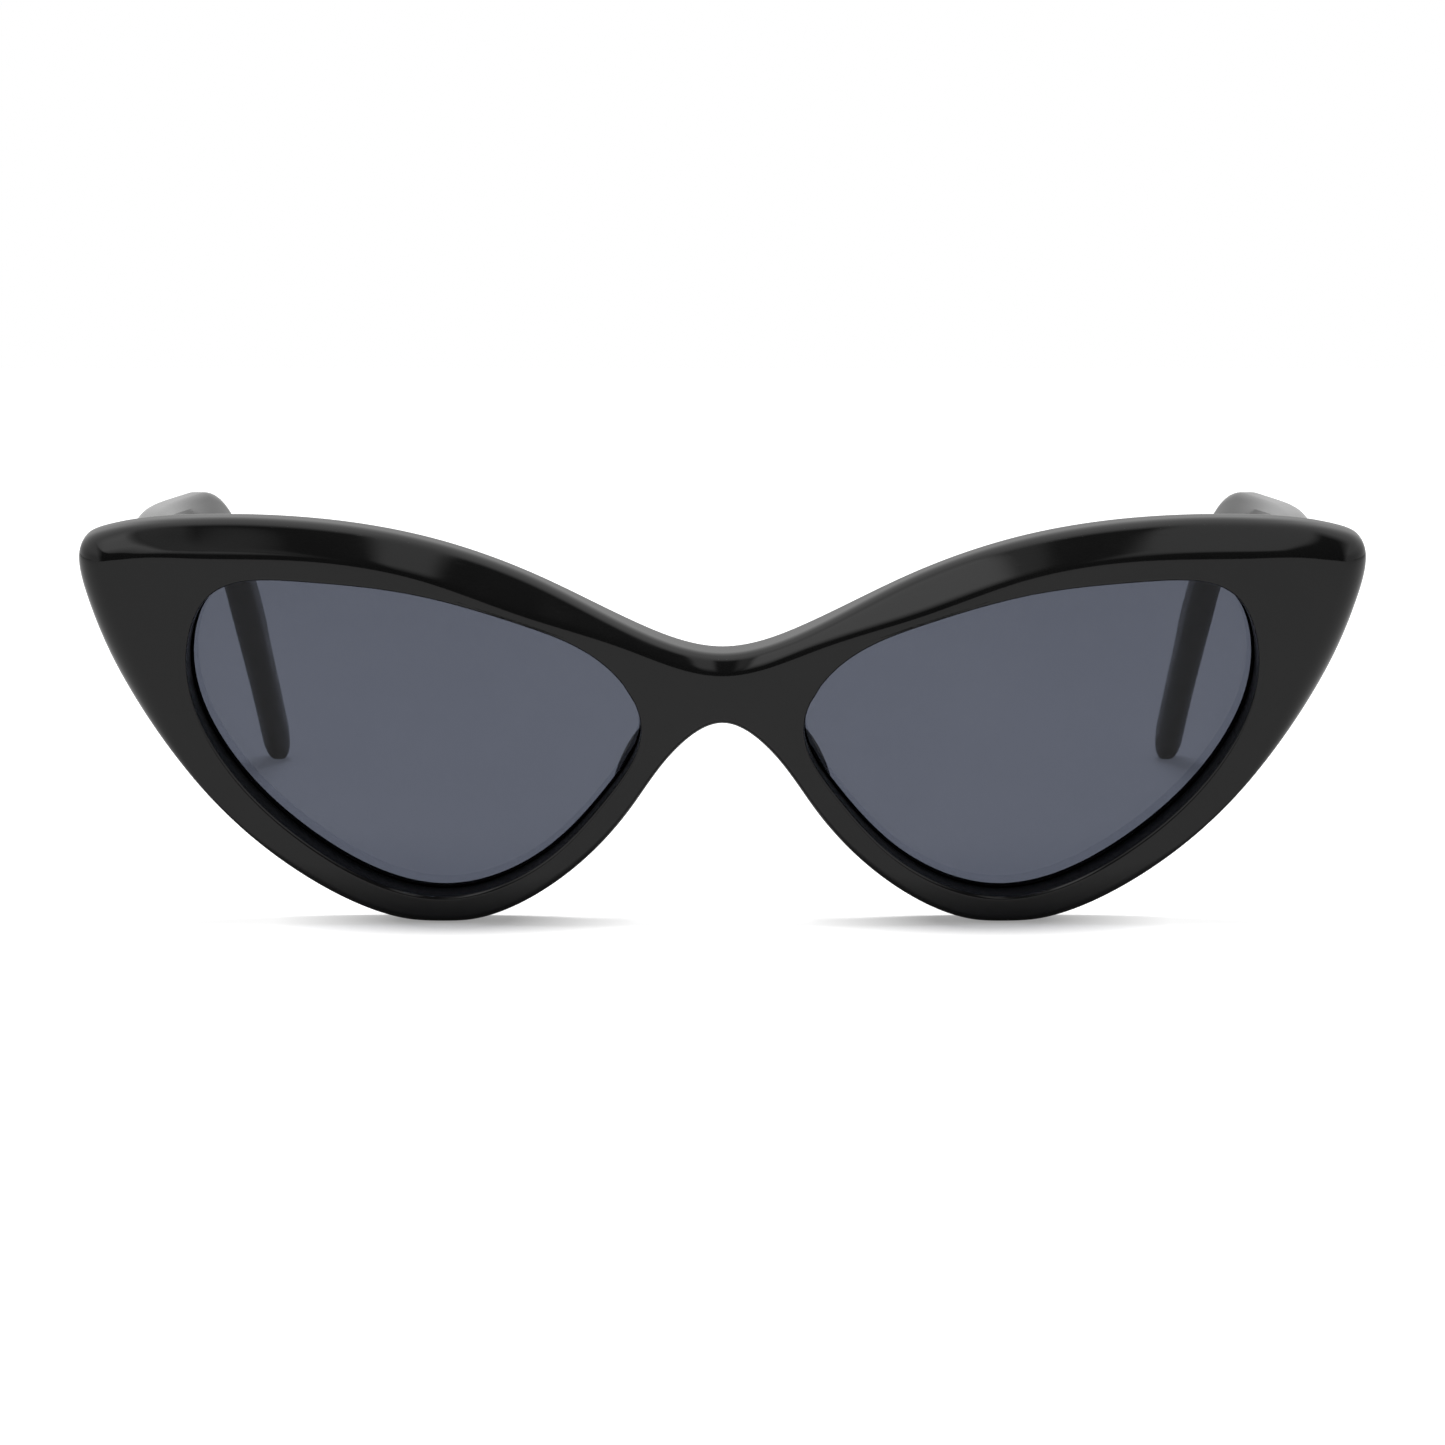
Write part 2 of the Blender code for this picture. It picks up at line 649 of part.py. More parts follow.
def temple_leaf_screw(spot, extra):
    """Screw, or its hole, square to the temple's inner face."""
    along, up = TEMPLE_SCREWS[spot]

    def place(x, y, z):
        return Vector((TEMPLE_IN_X - z, along - x, up + y))

    return turned(leaf_screw_profile(extra), SCREW_STEPS, place)


def temple_stations():
    """Rows along a temple: distance from the axis, outward shift, height, thickness, lean and corner."""
    ear = TEMPLE_TO_BEND + BEND_LENGTH
    lean = math.tan(TEMPLE_LEAN)
    thick = TEMPLE_THICKNESS
    corner = TEMPLE_CORNER
    tip_corner = TEMPLE_CORNER_TIP
    return [
        (-FRONT_THICKNESS, 0.0, TEMPLE_HEIGHT_BUTT, thick, 0.0, corner),
        (TEMPLE_LEAF_LENGTH, 0.0, TEMPLE_HEIGHT_BUTT, thick, 0.0, corner),
        (TEMPLE_TO_BEND / 2, TEMPLE_BOW, TEMPLE_HEIGHT_MIDDLE, thick, lean / 2, corner),
        (TEMPLE_TO_BEND - BEND_LEAD, TEMPLE_SPLAY, TEMPLE_HEIGHT_BEND, thick, lean, corner),
        (ear, TEMPLE_SPLAY - EAR_INWARD, TEMPLE_HEIGHT_BEND, thick, lean, corner),
        (ear + DROP_LENGTH / 2, TEMPLE_SPLAY - DROP_INWARD, TEMPLE_HEIGHT_TIP, thick, lean, tip_corner),
        (TEMPLE_END, TEMPLE_SPLAY - TIP_INWARD, TEMPLE_HEIGHT_TIP, TEMPLE_THICKNESS_TIP, lean, tip_corner),
    ]


TEMPLE_ROWS = spline(temple_stations(), 1, False)


def temple_at(distance):
    """Outward shift, height, thickness, lean and corner of a temple at a distance from the axis."""
    return [np.interp(distance, TEMPLE_ROWS[:, 0], column) for column in TEMPLE_ROWS.T[1:]]


def temple_path(distance):
    """Middle line of a temple seen from the side: y, z and the angle that it points down."""
    bend = min(max(distance - TEMPLE_TO_BEND, 0.0), BEND_LENGTH)
    fall = bend / BEND_RADIUS
    drop = max(distance - TEMPLE_TO_BEND - BEND_LENGTH, 0.0)
    y = min(distance, TEMPLE_TO_BEND) + BEND_RADIUS * math.sin(fall) + drop * math.cos(fall)
    z = BEND_RADIUS * (1 - math.cos(fall)) + drop * math.sin(fall)
    return AXIS_Y + y, AXIS_Z - z, fall


def temple_point(distance, side, rise):
    """Place in a temple: side is outward from its middle, rise is up across its height."""
    shift, _, _, lean, _ = temple_at(distance)
    y, z, fall = temple_path(distance)
    x = TEMPLE_OUT_X - TEMPLE_THICKNESS / 2 + shift + side + lean * rise
    return Vector((x, y + rise * math.sin(fall), z + rise * math.cos(fall)))


def rounded_section(width, height, corner):
    """Corner points of a rounded rectangle, counterclockwise from its outer side."""
    points = []
    for quarter, (right, up) in enumerate(((1, 1), (-1, 1), (-1, -1), (1, -1))):
        for k in range(3):
            turn = math.pi / 2 * (quarter + k / 2)
            side = right * (width / 2 - corner) + corner * math.cos(turn)
            rise = up * (height / 2 - corner) + corner * math.sin(turn)
            points.append((side, rise))
    return points


def temple_distances():
    """Distances along a temple where it has a section: straight, bend and drop."""
    ear = TEMPLE_TO_BEND + BEND_LENGTH
    straight = np.linspace(TEMPLE_LEAF_LENGTH, TEMPLE_TO_BEND, STRAIGHT_STEPS, endpoint=False)
    bend = np.linspace(TEMPLE_TO_BEND, ear, BEND_STEPS, endpoint=False)
    drop = np.linspace(ear, TEMPLE_END - TIP_ROUND, DROP_STEPS + 1)
    return np.concatenate([straight, bend, drop])


def temple_solid():
    """Temple with a butt end that follows the back of the front and a rounded tip."""
    mesh = bmesh.new()
    butt = []
    for side, rise in rounded_section(TEMPLE_THICKNESS, TEMPLE_HEIGHT_BUTT, TEMPLE_CORNER):
        place = temple_point(0.0, side, rise)
        place.y = back_face(place.x, place.z) + BUTT_GAP
        butt.append(mesh.verts.new(place))
    rows = [butt]
    sections = [(distance, 1.0) for distance in temple_distances()]
    for k in range(1, TIP_STEPS + 1):
        turn = math.pi / 2 * k / (TIP_STEPS + 0.5)
        sections.append((TEMPLE_END - TIP_ROUND * (1 - math.sin(turn)), math.cos(turn)))
    for distance, size in sections:
        _, height, width, _, corner = temple_at(distance)
        section = rounded_section(size * width, size * height, size * corner)
        rows.append([mesh.verts.new(temple_point(distance, *place)) for place in section])
    for first, second in zip(rows, rows[1:]):
        skin(mesh, second, first, True)
    mesh.faces.new(rows[0])
    pole = mesh.verts.new(temple_point(TEMPLE_END, 0.0, 0.0))
    for first, second in zip(rows[-1], rows[-1][1:] + rows[-1][:1]):
        mesh.faces.new((second, first, pole))
    return mesh


def core(radius, start, end):
    """Round bar along the middle of a temple."""
    mesh = bmesh.new()
    middle = [d for d in temple_distances() if start < d < end]
    rows = []
    for distance in [start] + middle + [end]:
        row = []
        for k in range(CORE_STEPS):
            turn = 2 * math.pi * k / CORE_STEPS
            side = CORE_OUTWARD + radius * math.cos(turn)
            row.append(mesh.verts.new(temple_point(distance, side, radius * math.sin(turn))))
        rows.append(row)
    for first, second in zip(rows, rows[1:]):
        skin(mesh, second, first, True)
    mesh.faces.new(rows[0])
    mesh.faces.new(rows[-1][::-1])
    return mesh


def core_wire():
    """Core wire, pushed in just past the butt end."""
    return core(CORE_RADIUS, 0.0, TEMPLE_END - CORE_END_MARGIN)


def core_bore():
    """Bore for the core wire, open at the butt end."""
    return core(CORE_RADIUS + FIT, -2 * FRONT_THICKNESS, TEMPLE_END - CORE_END_MARGIN + FIT)


def make_material(name, colour, roughness, metallic):
    """Plain material for a kind of piece."""
    material = bpy.data.materials.new(name)
    material.use_nodes = True
    shader = material.node_tree.nodes["Principled BSDF"]
    shader.inputs["Base Color"].default_value = (*colour, 1.0)
    shader.inputs["Roughness"].default_value = roughness
    shader.inputs["Metallic"].default_value = metallic
    return material


def add_piece(name, mesh, origin, side, material, parent):
    """Makes an object from a mesh in the part's frame, mirrored when side is -1."""
    for vert in mesh.verts:
        vert.co -= origin
        vert.co.x *= side
    if mesh.calc_volume(signed=True) < 0:
        bmesh.ops.reverse_faces(mesh, faces=mesh.faces[:])
    data = bpy.data.meshes.new(name)
    mesh.to_mesh(data)
    mesh.free()
    data.materials.append(material)
    data.shade_smooth()
    data.set_sharp_from_angle(angle=SHARP_ANGLE)
    piece = bpy.data.objects.new(name, data)
    bpy.context.scene.collection.objects.link(piece)
    piece.parent = parent
    place = Vector((origin.x * side, origin.y, origin.z))
    offset = parent.location if parent.parent else Vector()
    piece.location = place - offset
    return piece


def add_tool(name, mesh, side, material, parent):
    """Makes a hidden shape that cuts or adds to other pieces."""
    tool = add_piece(name, mesh, AXIS, side, material, parent)
    tool.hide_render = True
    tool.display_type = "WIRE"
    return tool


def combine(piece, tool, operation):
    """Cuts a piece with a tool, or joins the tool to it."""
    modifier = piece.modifiers.new(tool.name, "BOOLEAN")
    modifier.operation = operation
    modifier.solver = "EXACT"
    modifier.object = tool


def add_empty(name, place, parent):
    """Marks a place that pieces are parented to."""
    empty = bpy.data.objects.new(name, None)
    bpy.context.scene.collection.objects.link(empty)
    empty.location = place
    empty.parent = parent
    return empty


def add_front(materials, root):
    """Front with both halves joined by a mirror."""
    front = add_piece("front", front_half(), Vector(), 1, materials["acetate"], root)
    mirror = front.modifiers.new("other half", "MIRROR")
    mirror.use_clip = True
    mirror.merge_threshold = 0.00001
    return front


def add_side(side, word, front, floor, materials, root):
    """All pieces of one side of the glasses."""
    acetate, metal = materials["acetate"], materials["metal"]
    lens_middle = on_front(BRIDGE_WIDTH / 2 + LENS_WIDTH / 2, RIM_LOW + LENS_HEIGHT / 2, LENS_DEPTH)
    add_piece(f"lens_{word}", lens_solid(), lens_middle, side, materials["lens"], root)
    pad_place = on_front(*lens_point("nose_side"), FRONT_THICKNESS)
    add_piece(f"nose_pad_{word}", pad_solid(), pad_place, side, materials["pad"], root)
    # hinge half on the front
    bore = turned(pin_profile(PIN_FIT), ROUND_STEPS, on_axis)
    pin_bore = add_tool(f"pin_bore_{word}", bore, side, metal, root)
    pocket = add_tool(f"front_pocket_{word}", front_pocket(), side, acetate, root)
    combine(front, pocket, "DIFFERENCE")
    leaf = add_piece(f"front_leaf_{word}", front_leaf(), AXIS, side, metal, root)
    knuckles = add_tool(f"front_knuckles_{word}", front_knuckles(), side, metal, root)
    combine(leaf, knuckles, "UNION")
    combine(leaf, pin_bore, "DIFFERENCE")
    for spot in FRONT_SCREWS:
        name = f"front_leaf_screw_{word}_{spot}"
        add_piece(name, front_leaf_screw(spot, 0.0), AXIS, side, metal, root)
        hole = add_tool(f"{name}_hole", front_leaf_screw(spot, FIT), side, metal, root)
        combine(leaf, hole, "DIFFERENCE")
        combine(front, hole, "DIFFERENCE")
    screw = add_piece(f"hinge_screw_{word}", hinge_screw(), AXIS, side, metal, root)
    slot = add_tool(f"hinge_slot_{word}", hinge_slot(), side, metal, root)
    combine(screw, slot, "DIFFERENCE")
    # temple, which turns on the hinge axis
    hinge = add_empty(f"hinge_{word}", Vector((AXIS_X * side, AXIS_Y, AXIS_Z)), root)
    temple = add_piece(f"temple_{word}", temple_solid(), AXIS, side, acetate, hinge)
    pocket = add_tool(f"temple_pocket_{word}", temple_pocket(), side, acetate, hinge)
    combine(temple, pocket, "DIFFERENCE")
    core_hole = add_tool(f"core_bore_{word}", core_bore(), side, acetate, hinge)
    combine(temple, core_hole, "DIFFERENCE")
    add_piece(f"core_wire_{word}", core_wire(), AXIS, side, metal, hinge)
    leaf = add_piece(f"temple_leaf_{word}", temple_leaf(), AXIS, side, metal, hinge)
    knuckles = add_tool(f"temple_knuckles_{word}", temple_knuckles(), side, metal, hinge)
    combine(leaf, knuckles, "UNION")
    combine(leaf, pin_bore, "DIFFERENCE")
    for spot in TEMPLE_SCREWS:
        name = f"temple_leaf_screw_{word}_{spot}"
        add_piece(name, temple_leaf_screw(spot, 0.0), AXIS, side, metal, hinge)
        hole = add_tool(f"{name}_hole", temple_leaf_screw(spot, FIT), side, metal, hinge)
        combine(leaf, hole, "DIFFERENCE")
        combine(temple, hole, "DIFFERENCE")
    combine(temple, floor, "DIFFERENCE")


def main():
    for item in list(bpy.data.objects):
        bpy.data.objects.remove(item, do_unlink=True)
    materials = {
        "acetate": make_material("black acetate", (0.012, 0.012, 0.012), 0.12, 0.0),
        "pad": make_material("black acetate pad", (0.014, 0.014, 0.014), 0.2, 0.0),
        "lens": make_material("grey lens", (0.108, 0.118, 0.151), 0.05, 0.0),
        "metal": make_material("nickel silver", (0.62, 0.60, 0.56), 0.3, 1.0),
    }
    brow = OUTER[:, :2] - OUTER[:, 2:3] * OUTER[:, 4:]
    front_most = min(on_front(*place, 0.0).y for place in brow)
    rear_most = temple_path(TEMPLE_END - TIP_ROUND)[0] + TIP_ROUND
    root = add_empty("sunglasses", Vector((0, -(front_most + rear_most) / 2, 0)), None)
    front = add_front(materials, root)
    reach = 2 * TEMPLE_END
    floor_mesh = box((-reach, reach), (-reach, reach), (-TIP_ROUND, 0.0))
    floor = add_piece("floor", floor_mesh, Vector(), 1, materials["acetate"], root)
    floor.hide_render = True
    floor.display_type = "WIRE"
    for side, word in ((1, "left"), (-1, "right")):
        add_side(side, word, front, floor, materials, root)
    combine(front, floor, "DIFFERENCE")


main()
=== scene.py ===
import json
import math

import bmesh
import bpy
import numpy as np
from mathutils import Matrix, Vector


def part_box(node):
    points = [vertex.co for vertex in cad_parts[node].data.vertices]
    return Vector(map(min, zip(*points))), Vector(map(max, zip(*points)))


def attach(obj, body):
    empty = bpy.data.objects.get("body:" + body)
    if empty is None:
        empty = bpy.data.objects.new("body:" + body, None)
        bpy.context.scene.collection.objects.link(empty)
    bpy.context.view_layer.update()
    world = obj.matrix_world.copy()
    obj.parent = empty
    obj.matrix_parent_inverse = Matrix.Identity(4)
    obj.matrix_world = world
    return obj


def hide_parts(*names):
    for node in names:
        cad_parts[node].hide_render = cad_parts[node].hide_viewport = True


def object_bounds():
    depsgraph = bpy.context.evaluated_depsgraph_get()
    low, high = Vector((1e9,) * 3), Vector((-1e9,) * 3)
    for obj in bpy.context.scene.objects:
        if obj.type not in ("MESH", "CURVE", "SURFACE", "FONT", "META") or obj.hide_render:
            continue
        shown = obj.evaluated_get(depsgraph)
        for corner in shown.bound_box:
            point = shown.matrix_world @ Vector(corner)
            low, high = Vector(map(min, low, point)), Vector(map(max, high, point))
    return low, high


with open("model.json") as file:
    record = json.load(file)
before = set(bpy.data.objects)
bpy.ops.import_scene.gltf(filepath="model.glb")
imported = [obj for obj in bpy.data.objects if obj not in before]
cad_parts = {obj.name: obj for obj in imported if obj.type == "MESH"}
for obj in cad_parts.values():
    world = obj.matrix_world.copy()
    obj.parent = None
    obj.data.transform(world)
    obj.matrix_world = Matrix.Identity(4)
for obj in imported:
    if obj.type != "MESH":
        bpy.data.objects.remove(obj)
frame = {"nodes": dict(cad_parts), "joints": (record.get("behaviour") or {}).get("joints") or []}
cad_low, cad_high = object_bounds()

# Lens openings and bridge
LENS_WIDTH = 0.0491
LENS_HEIGHT = 0.0352
BRIDGE_WIDTH = 0.0177
BRIDGE_ARCH = 0.0228
BRIDGE_BAR = 0.0079

# Widths of the front around each lens opening
RIM_LOW = 0.0030
RIM_INNER_LOW = 0.0028
RIM_NOSE = 0.0029
RIM_ARCH = 0.0047
RIM_SHOULDER = 0.0054
RIM_INNER_BROW = 0.0049
RIM_MID_BROW = 0.0057
RIM_OUTER_BROW = 0.0064
RIM_CROWN = 0.0084
END_TOP = 0.0136
END_TIP = 0.0151
END_LOW = 0.0120
RIM_TEMPLE = 0.0078
RIM_SIDE = 0.0037
RIM_OUTER_LOW = 0.0030

# Section of the front
FRONT_THICKNESS = 0.0060
FACE_RADIUS = 1.0
TILT = math.radians(8.5)
BROW_BEVEL = 0.0032
BRIDGE_BEVEL = 0.0016
END_ROUND = 0.0034
RIM_ROUND = 0.0010
BEVEL_STEEPNESS = 0.85
BROW_CREASE = 0.8
TOP_CREASE = 0.1
BACK_ROUND = 0.0007
OPENING_ROUND = 0.0004
REST_FLAT = 0.00025

# Lenses
LENS_THICKNESS = 0.0020
LENS_DEPTH = 0.0044
LENS_DOME = 0.0008
GROOVE_DEPTH = 0.0007
GROOVE_HALF = 0.0010
LENS_FIT = 0.0002

# Nose pads
PAD_LENGTH = 0.0124
PAD_WIDTH = 0.0031
PAD_HEIGHT = 0.0045
PAD_SPLAY = 0.0012

# Hinges
HINGE_BELOW_LENS_TOP = 0.0030
KNUCKLE_RADIUS = 0.0015
KNUCKLE_HEIGHT = 0.0014
KNUCKLE_GAP = 0.0002
KNUCKLE_COUNT = 5
LEAF_THICKNESS = 0.0010
FRONT_LEAF_TAB = 0.0014
FRONT_LEAF_HEIGHT = 0.0126
TEMPLE_LEAF_LENGTH = 0.0106
TEMPLE_LEAF_HEIGHT = 0.0060
PIN_RADIUS = 0.0007
PIN_HEAD_RADIUS = 0.0012
PIN_HEAD_TOP_RADIUS = 0.0009
PIN_HEAD_HEIGHT = 0.0006
LEAF_SCREW_RADIUS = 0.0006
LEAF_SCREW_HEAD = 0.0010
LEAF_SCREW_LENGTH = 0.0025
LEAF_SCREW_SINK = 0.0005
SCREW_SLOT = 0.0003

# Temples
TEMPLE_THICKNESS = 0.0036
TEMPLE_HEIGHT_BUTT = 0.0086
TEMPLE_HEIGHT_MIDDLE = 0.0094
TEMPLE_HEIGHT_BEND = 0.0068
TEMPLE_HEIGHT_TIP = 0.0078
TEMPLE_THICKNESS_TIP = 0.0036
TEMPLE_CORNER = 0.0012
TEMPLE_CORNER_TIP = 0.0016
TEMPLE_TO_BEND = 0.092
BEND_RADIUS = 0.022
DROP_ANGLE = math.radians(48)
BEND_LEAD = 0.005
TEMPLE_BOW = 0.0011
TEMPLE_SPLAY = 0.0007
EAR_INWARD = 0.0034
DROP_INWARD = 0.0056
TIP_INWARD = 0.0072
TEMPLE_LEAN = math.radians(6)
CORE_RADIUS = 0.0006
CORE_OUTWARD = 0.0004
CORE_END_MARGIN = 0.010

# Clearances
BUTT_GAP = 0.0003
KNUCKLE_CLEARANCE = 0.0003
FIT = 0.00015
PIN_FIT = 0.0002
WELD = 0.000002

# Finishes
LENS_TINT = (0.0585, 0.065, 0.0855)
LENS_TINT_HAZE = (0.0605, 0.067, 0.0875)
LENS_COATING = (0.5, 0.5, 0.5, 1.0)
LENS_SHADE = (0.30, 0.31, 0.36)
# second material: walls of the lens openings, and painted shade on the lens edges
WALL_AND_LENS_SHADE_SLOT = 1
HAZE_RANGE = (0.38, 0.68)
RUB_STRETCH = (0.12, 1, 1.6)
RUB_SCALE = 2600
RUB_RANGE = (0.60, 0.74)
RIPPLE_SCALE = 160
RIPPLE_HEIGHT = 0.00002
CORNER_RANGE = (0.52, 0.62)
BREAKUP_RANGE = (0.35, 0.65)
BREAKUP_LEAST = 0.2
BRUSH_SCALE = 3000
BRUSH_STRENGTH = 0.25
BRUSH_HEIGHT = 0.00001
LEAF_EDGE = 0.00008
SCREW_EDGE = 0.00005

# Numbers of the colour sockets of a mix node, whose names its other kinds share
MIX_FIRST = 6
MIX_SECOND = 7
MIX_RESULT = 2

# Camera, floor and light
PHOTO_PIXELS = 1445
FOCAL_PIXELS = 5523
SENSOR = 36.0
CAMERA_DISTANCE = 0.600
CAMERA_RISE = math.radians(7.25)
AIM_DEPTH = 0.005
AIM_HEIGHT = 0.0221
FLOOR_FRONT = -0.31
FLOOR_BACK = 0.9
FLOOR_SIDE = 1.2
FLOOR_GAP = 0.0001
# painted shade and light in the floor's glow: low at the rim feet, rising between LIFT_START and LIFT_END
# to a level that covers the rest of the shadow
PAINTED_SHADE_FOOT_LIFT = 0.30
PAINTED_LIGHT_FLOOR_LIFT = 0.85
LIFT_START = 0.006
LIFT_END = 0.020
FLOOR_COLOUR = (0.68, 0.68, 0.68)
FLOOR_CLOUD = (0.72, 0.72, 0.72)
FLOOR_CLOUD_SCALE = 30
FILL_LEVEL = 0.25
SOFTBOX_PLACE = (0.0, -0.04, 0.95)
SOFTBOX_AIM = (0.0, -0.07, 0.03)
SOFTBOX_WIDTH = 0.40
SOFTBOX_DEPTH = 0.30
SOFTBOX_POWER = 8.6

# Room that the gloss shows: dark in front up to its top, then panes given as lean to the side and level
ROOM_BACK = 0.15
ROOM_FRONT = -0.20
ROOM_SIDE = 0.42
ROOM_SIDE_SOFT = 0.20
ROOM_TOP = 0.46
ROOM_TOP_SOFT = 0.20
ROOM_LEVEL = 0.10
HORIZON_LEVEL = 0.68
SKY_START = 0.15
SKY_FULL = 0.50
PANE_SOFT = 0.03
LEAST_RISE = 0.05
PANES = (
    (-0.70, -0.33, 1.5),
    (-0.31, -0.18, 0.42),
    (0.10, 0.34, 0.85),
)

# Facets
OUTLINE_STEPS = 240
SEAM_STEPS = 12
TURN_LENGTH = 0.006
LENS_STEPS = 200
LENS_RINGS = 12
EDGE_STEPS = 44
EDGE_SAMPLES = 60
WINDOW_STEPS = 25
ARC_STEPS = 5
PAD_STEPS = 40
PAD_RINGS = 12
ROUND_STEPS = 48
SCREW_STEPS = 32
CORE_STEPS = 16
STRAIGHT_STEPS = 28
BEND_STEPS = 28
DROP_STEPS = 24
TIP_STEPS = 12
CORNER_STEPS = 8
CURVE_STEPS = 48
SUPPORT = 0.00012
SHARP_ANGLE = math.radians(38)

# Buffing and rounding of the visible shapes
ROUND_STEEPNESS = 1.2
FACE_BUFF = 0.0008
TOP_BUFF = 0.0013
FOOT_SOFT = 0.0003
TIP_STRETCH = 2.0
NORMAL_REACH = 0.006

# Fits to the photograph beyond the solids: sides wider, top of the bridge lower, lens openings higher
SIDE_FIT = 0.0004
BRIDGE_FIT = 0.0004
LENS_LIFT = 0.0003

# Corners of the lens outline, as shares of the opening's width and height, clockwise from the nose
LENS_STATIONS = {
    "nasal": (0.000, 0.548),
    "nasal_brow": (0.068, 0.727),
    "inner_brow": (0.262, 0.869),
    "mid_brow": (0.492, 0.960),
    "outer_brow": (0.746, 1.000),
    "corner": (0.944, 0.955),
    "temporal": (1.000, 0.767),
    "outer_side": (0.932, 0.446),
    "outer_low": (0.740, 0.166),
    "bottom": (0.425, 0.000),
    "inner_low": (0.227, 0.105),
    "nose_side": (0.076, 0.321),
}

# Outer outline: lens station, direction in degrees, width out from there, edge width, crease share
RIM_STATIONS = (
    ("nasal_brow", 121, RIM_SHOULDER - BRIDGE_FIT / 2, BRIDGE_BEVEL, BROW_CREASE),
    ("inner_brow", 110, RIM_INNER_BROW, BROW_BEVEL, BROW_CREASE),
    ("mid_brow", 106, RIM_MID_BROW, BROW_BEVEL, BROW_CREASE),
    ("outer_brow", 83, RIM_OUTER_BROW, BROW_BEVEL, BROW_CREASE),
    ("corner", 73, RIM_CROWN, BROW_BEVEL, BROW_CREASE),
    ("corner", 30, END_TOP, BROW_BEVEL, TOP_CREASE),
    ("corner", 23, END_TIP, END_ROUND, 0.0),
    ("temporal", 26, END_LOW + SIDE_FIT, END_ROUND, 0.0),
    ("temporal", -28, RIM_TEMPLE + SIDE_FIT, END_ROUND, 0.0),
    ("outer_side", -30, RIM_SIDE + SIDE_FIT, RIM_ROUND, 0.0),
    ("outer_low", -68, RIM_OUTER_LOW + SIDE_FIT, RIM_ROUND, 0.0),
    ("bottom", -97, RIM_LOW, RIM_ROUND, 0.0),
    ("inner_low", -144, RIM_INNER_LOW, RIM_ROUND, 0.0),
    ("nose_side", -157, RIM_NOSE, RIM_ROUND, 0.0),
    ("nasal", -154, RIM_ARCH, RIM_ROUND, 0.0),
)


def spline(stations, keys, closed):
    """Smooth curve through rows of values, spaced by the distance between their first keys columns."""
    rows = np.array(stations, float)
    if closed:
        rows = np.vstack([rows, rows[:1]])
    last = len(rows) - 1
    gap = np.linalg.norm(np.diff(rows[:, :keys], axis=0), axis=1)
    slope = np.diff(rows, axis=0) / gap[:, None]
    matrix = np.zeros((last + 1, last + 1))
    right = np.zeros_like(rows)
    for k in range(1, last):
        matrix[k, k - 1:k + 2] = gap[k - 1], 2 * (gap[k - 1] + gap[k]), gap[k]
        right[k] = 6 * (slope[k] - slope[k - 1])
    matrix[0, 0] = 1
    matrix[last, last] = 1
    if closed:
        matrix[0, last] = -1
        matrix[last, last] = 2 * (gap[-1] + gap[0])
        matrix[last, last - 1] = gap[-1]
        matrix[last, 1] = gap[0]
        right[last] = 6 * (slope[0] - slope[-1])
    bend = np.linalg.solve(matrix, right)
    points = []
    for k in range(last):
        sixth = gap[k] ** 2 / 6
        for t in np.arange(CURVE_STEPS) / CURVE_STEPS:
            s = 1 - t
            straight = rows[k] * s + rows[k + 1] * t
            points.append(straight + sixth * (bend[k] * (s ** 3 - s) + bend[k + 1] * (t ** 3 - t)))
    return np.vstack([points, rows[-1:]])


def with_normals(curve):
    """Adds the outward normal of a clockwise outline as two more columns."""
    along = np.gradient(curve[:, :2], axis=0)
    along /= np.linalg.norm(along, axis=1)[:, None]
    return np.column_stack([curve, -along[:, 1], along[:, 0]])


def share_out(curve, count):
    """Picks count points of a curve, closer together where it turns."""
    step = np.diff(curve[:, :2], axis=0)
    heading = np.unwrap(np.arctan2(step[:, 1], step[:, 0]))
    turn = np.abs(np.diff(heading, append=heading[-1]))
    travel = np.concatenate([[0], np.cumsum(np.linalg.norm(step, axis=1) + TURN_LENGTH * turn)])
    marks = np.linspace(0, travel[-1], count)
    return np.column_stack([np.interp(marks, travel, column) for column in curve.T])


def lens_point(station):
    """Flat place of a lens station: across from the middle of the front, up from the rim bottoms."""
    across, up = LENS_STATIONS[station]
    return np.array([BRIDGE_WIDTH / 2 + across * LENS_WIDTH, RIM_LOW + up * LENS_HEIGHT])


def lens_outline():
    """Edge of the lens opening with its normals."""
    lift = np.array([0.0, LENS_LIFT])
    closed = spline([lens_point(name) + lift for name in LENS_STATIONS], 2, True)
    return with_normals(closed)


def rim_point(name, degrees, width):
    """Flat place of a point on the outer outline."""
    angle = math.radians(degrees)
    return lens_point(name) + width * np.array([math.cos(angle), math.sin(angle)])


def rim_middle(station):
    """Flat place halfway across the rim at a lens station."""
    row = next(row for row in RIM_STATIONS if row[0] == station)
    return (lens_point(station) + rim_point(*row[:3])) / 2


def distances(points):
    """Distance along a line of points to each of them."""
    return np.concatenate([[0], np.cumsum(np.linalg.norm(np.diff(points, axis=0), axis=1))])


def averaged(rows, travel, marks, reach):
    """Averages rows of values over a reach to both sides of each mark, a shorter one near the ends."""
    reach = np.minimum(reach, np.minimum(marks, travel[-1] - marks))
    spread = marks[:, None] + reach[:, None] * np.linspace(-1, 1, WINDOW_STEPS)
    return np.column_stack([np.interp(spread, travel, column).mean(axis=1) for column in rows.T])


def soften_normals(curve):
    """Spreads sharp turns of the normals along the outline, so that a wide edge doesn't cross itself."""
    travel = distances(curve[:, :2])
    soft = averaged(curve[:, 4:], travel, travel, NORMAL_REACH)
    curve[:, 4:] = soft / np.linalg.norm(soft, axis=1)[:, None]


